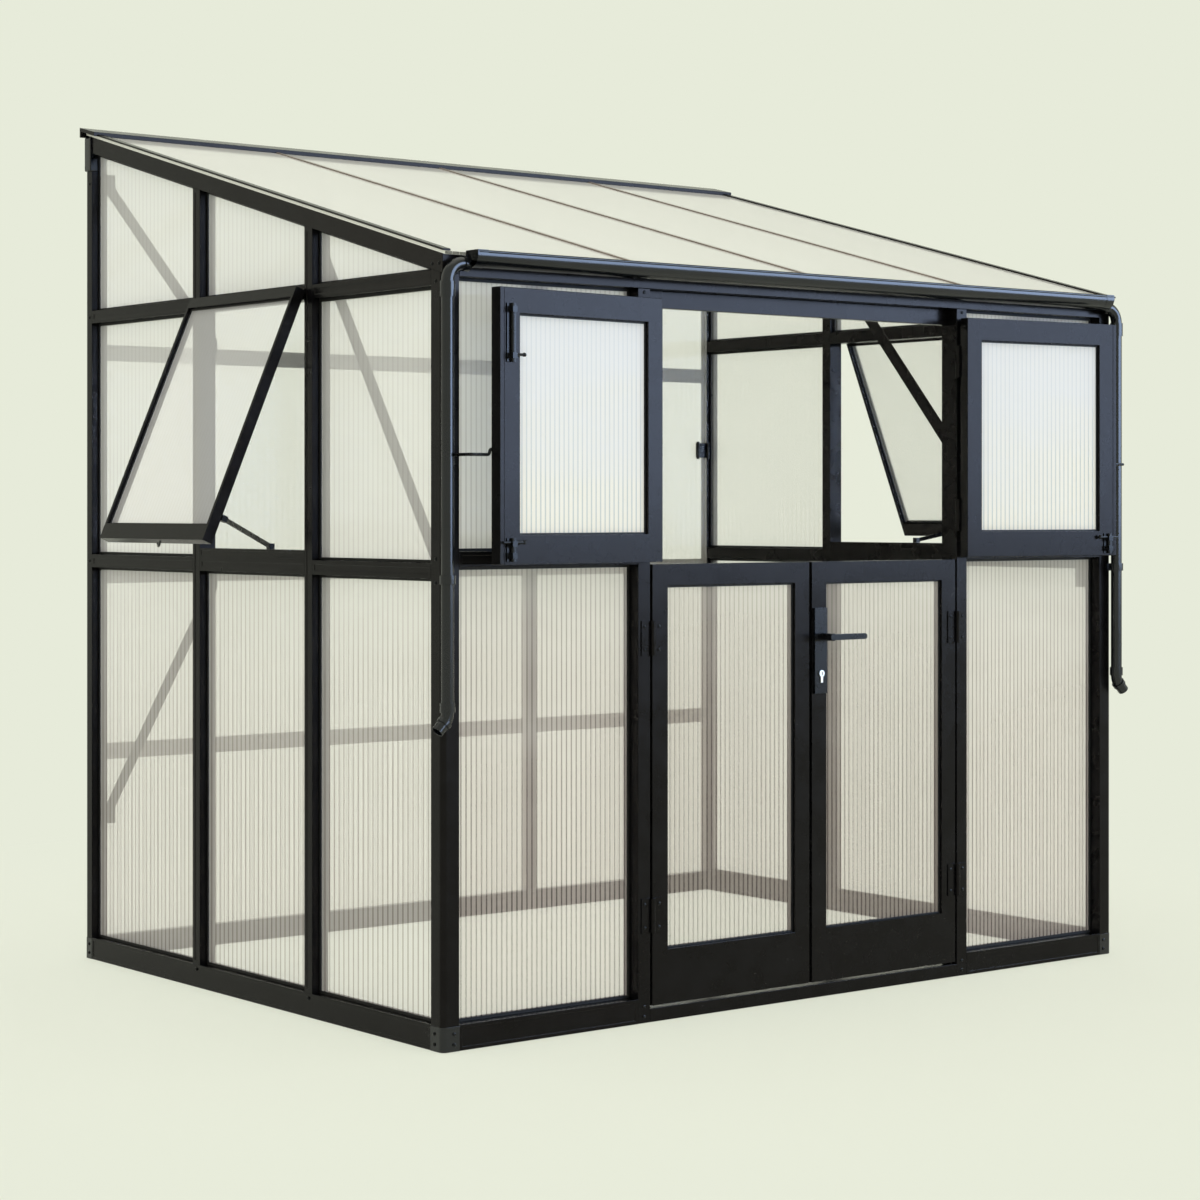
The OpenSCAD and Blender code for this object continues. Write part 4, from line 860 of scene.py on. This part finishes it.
# Latch keep. A plate with two upright round bars stands on the back wall beside the right post.
keep_z = 1.527
keep_half = 0.03
keep_parts = []
for bar_x in (1.119, 1.163):
    upright = [(bar_x, 0.927, z) for z in (keep_z - keep_half, keep_z, keep_z + keep_half)]
    keep_parts.append(bent_rod("keep_bar", upright, 0.0052))
bpy.ops.object.select_all(action="DESELECT")
bpy.ops.mesh.primitive_cube_add(size=1.0, location=(1.1485, 0.9335, keep_z))
keep_plate = bpy.context.object
keep_plate.scale = (0.067, 0.003, 0.05)
bpy.ops.object.transform_apply(location=True, rotation=True, scale=True)
round_edges(keep_plate, 0.001)
keep_parts.append(keep_plate)
finish_piece(join_pieces(keep_parts, "latch_keep"), black_steel)

# Screws. Black pan-head screws with a recess, turned once and set wherever two bars meet and on
# the plates of the hinges.
bpy.ops.object.select_all(action="DESELECT")
bpy.ops.mesh.primitive_cylinder_add(vertices=12, radius=0.0045, depth=0.0024)
screw_head = bpy.context.object
for face in screw_head.data.polygons:
    face.select = face.normal.z > 0.9
bpy.ops.object.mode_set(mode="EDIT")
bpy.ops.mesh.select_mode(type="FACE")
bpy.ops.mesh.inset(thickness=0.0013, depth=0.0009)
bpy.ops.mesh.inset(thickness=0.0012, depth=0.0003)
bpy.ops.mesh.inset(thickness=0.0004, depth=-0.0009)
bpy.ops.mesh.select_all(action="DESELECT")
bpy.ops.object.mode_set(mode="OBJECT")


def set_screws(name, places, body="building"):
    heads = []
    for spot, facing in places:
        head = bpy.data.objects.new(name, screw_head.data.copy())
        scene.collection.objects.link(head)
        turn = Vector(facing).to_track_quat("Z", "Y").to_matrix().to_4x4()
        head.data.transform(Matrix.Translation(Vector(spot)) @ turn)
        heads.append(head)
    finish_piece(join_pieces(heads, name), black_steel, body)


front_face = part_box("front_posts")[0].y
side_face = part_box("front_posts")[1].x
jamb_x = 0.582
leaf_plate_x = 0.5345
back_post_y = 0.95
frame_spots = []
hinge_spots = {"building": [], "lower_left_door": [], "lower_right_door": []}
for side in (-1.0, 1.0):
    left_right = (side, 0.0, 0.0)
    wall_x = side * side_face
    for z in (0.017, 0.043):
        frame_spots.append(((side * (side_face - 0.034), front_face - foot_wall, z), outward["front"]))
        frame_spots.append(((wall_x + side * foot_wall, front_face + 0.034, z), left_right))
        frame_spots.append(((wall_x + side * foot_wall, back_post_y, z), left_right))
        frame_spots.append(((side * jamb_x, front_face, z), outward["front"]))
    for z in (1.142, 1.2, 1.878):
        frame_spots.append(((wall_x, front_face + 0.03, z), left_right))
    for z in (1.171, 1.886, 2.28):
        frame_spots.append(((wall_x, back_post_y, z), left_right))
    for y in (-0.248, 0.328):
        frame_spots.append(((wall_x, y, 0.05), left_right))
    for y in (-0.84, -0.81):
        frame_spots.append(((wall_x, y, 1.921), left_right))
    for z in (1.192, 1.88):
        frame_spots.append(((side * jamb_x, front_face, z), outward["front"]))
    for z in (1.3, 1.72, 1.76):
        frame_spots.append(((side * 1.19, 0.935, z), outward["front"]))
    hinge_face = front_face - 0.003
    for z in (0.245, 0.305, 0.96, 1.02):
        hinge_spots["building"].append(((side * jamb_x, hinge_face, z), outward["front"]))
        leaf_body = "lower_left_door" if side < 0 else "lower_right_door"
        hinge_spots[leaf_body].append(((side * leaf_plate_x, hinge_face, z), outward["front"]))
set_screws("frame_screws", frame_spots)
set_screws("jamb_hinge_screws", hinge_spots["building"])
set_screws("lower_left_hinge_screws", hinge_spots["lower_left_door"], "lower_left_door")
set_screws("lower_right_hinge_screws", hinge_spots["lower_right_door"], "lower_right_door")
bpy.data.objects.remove(screw_head)
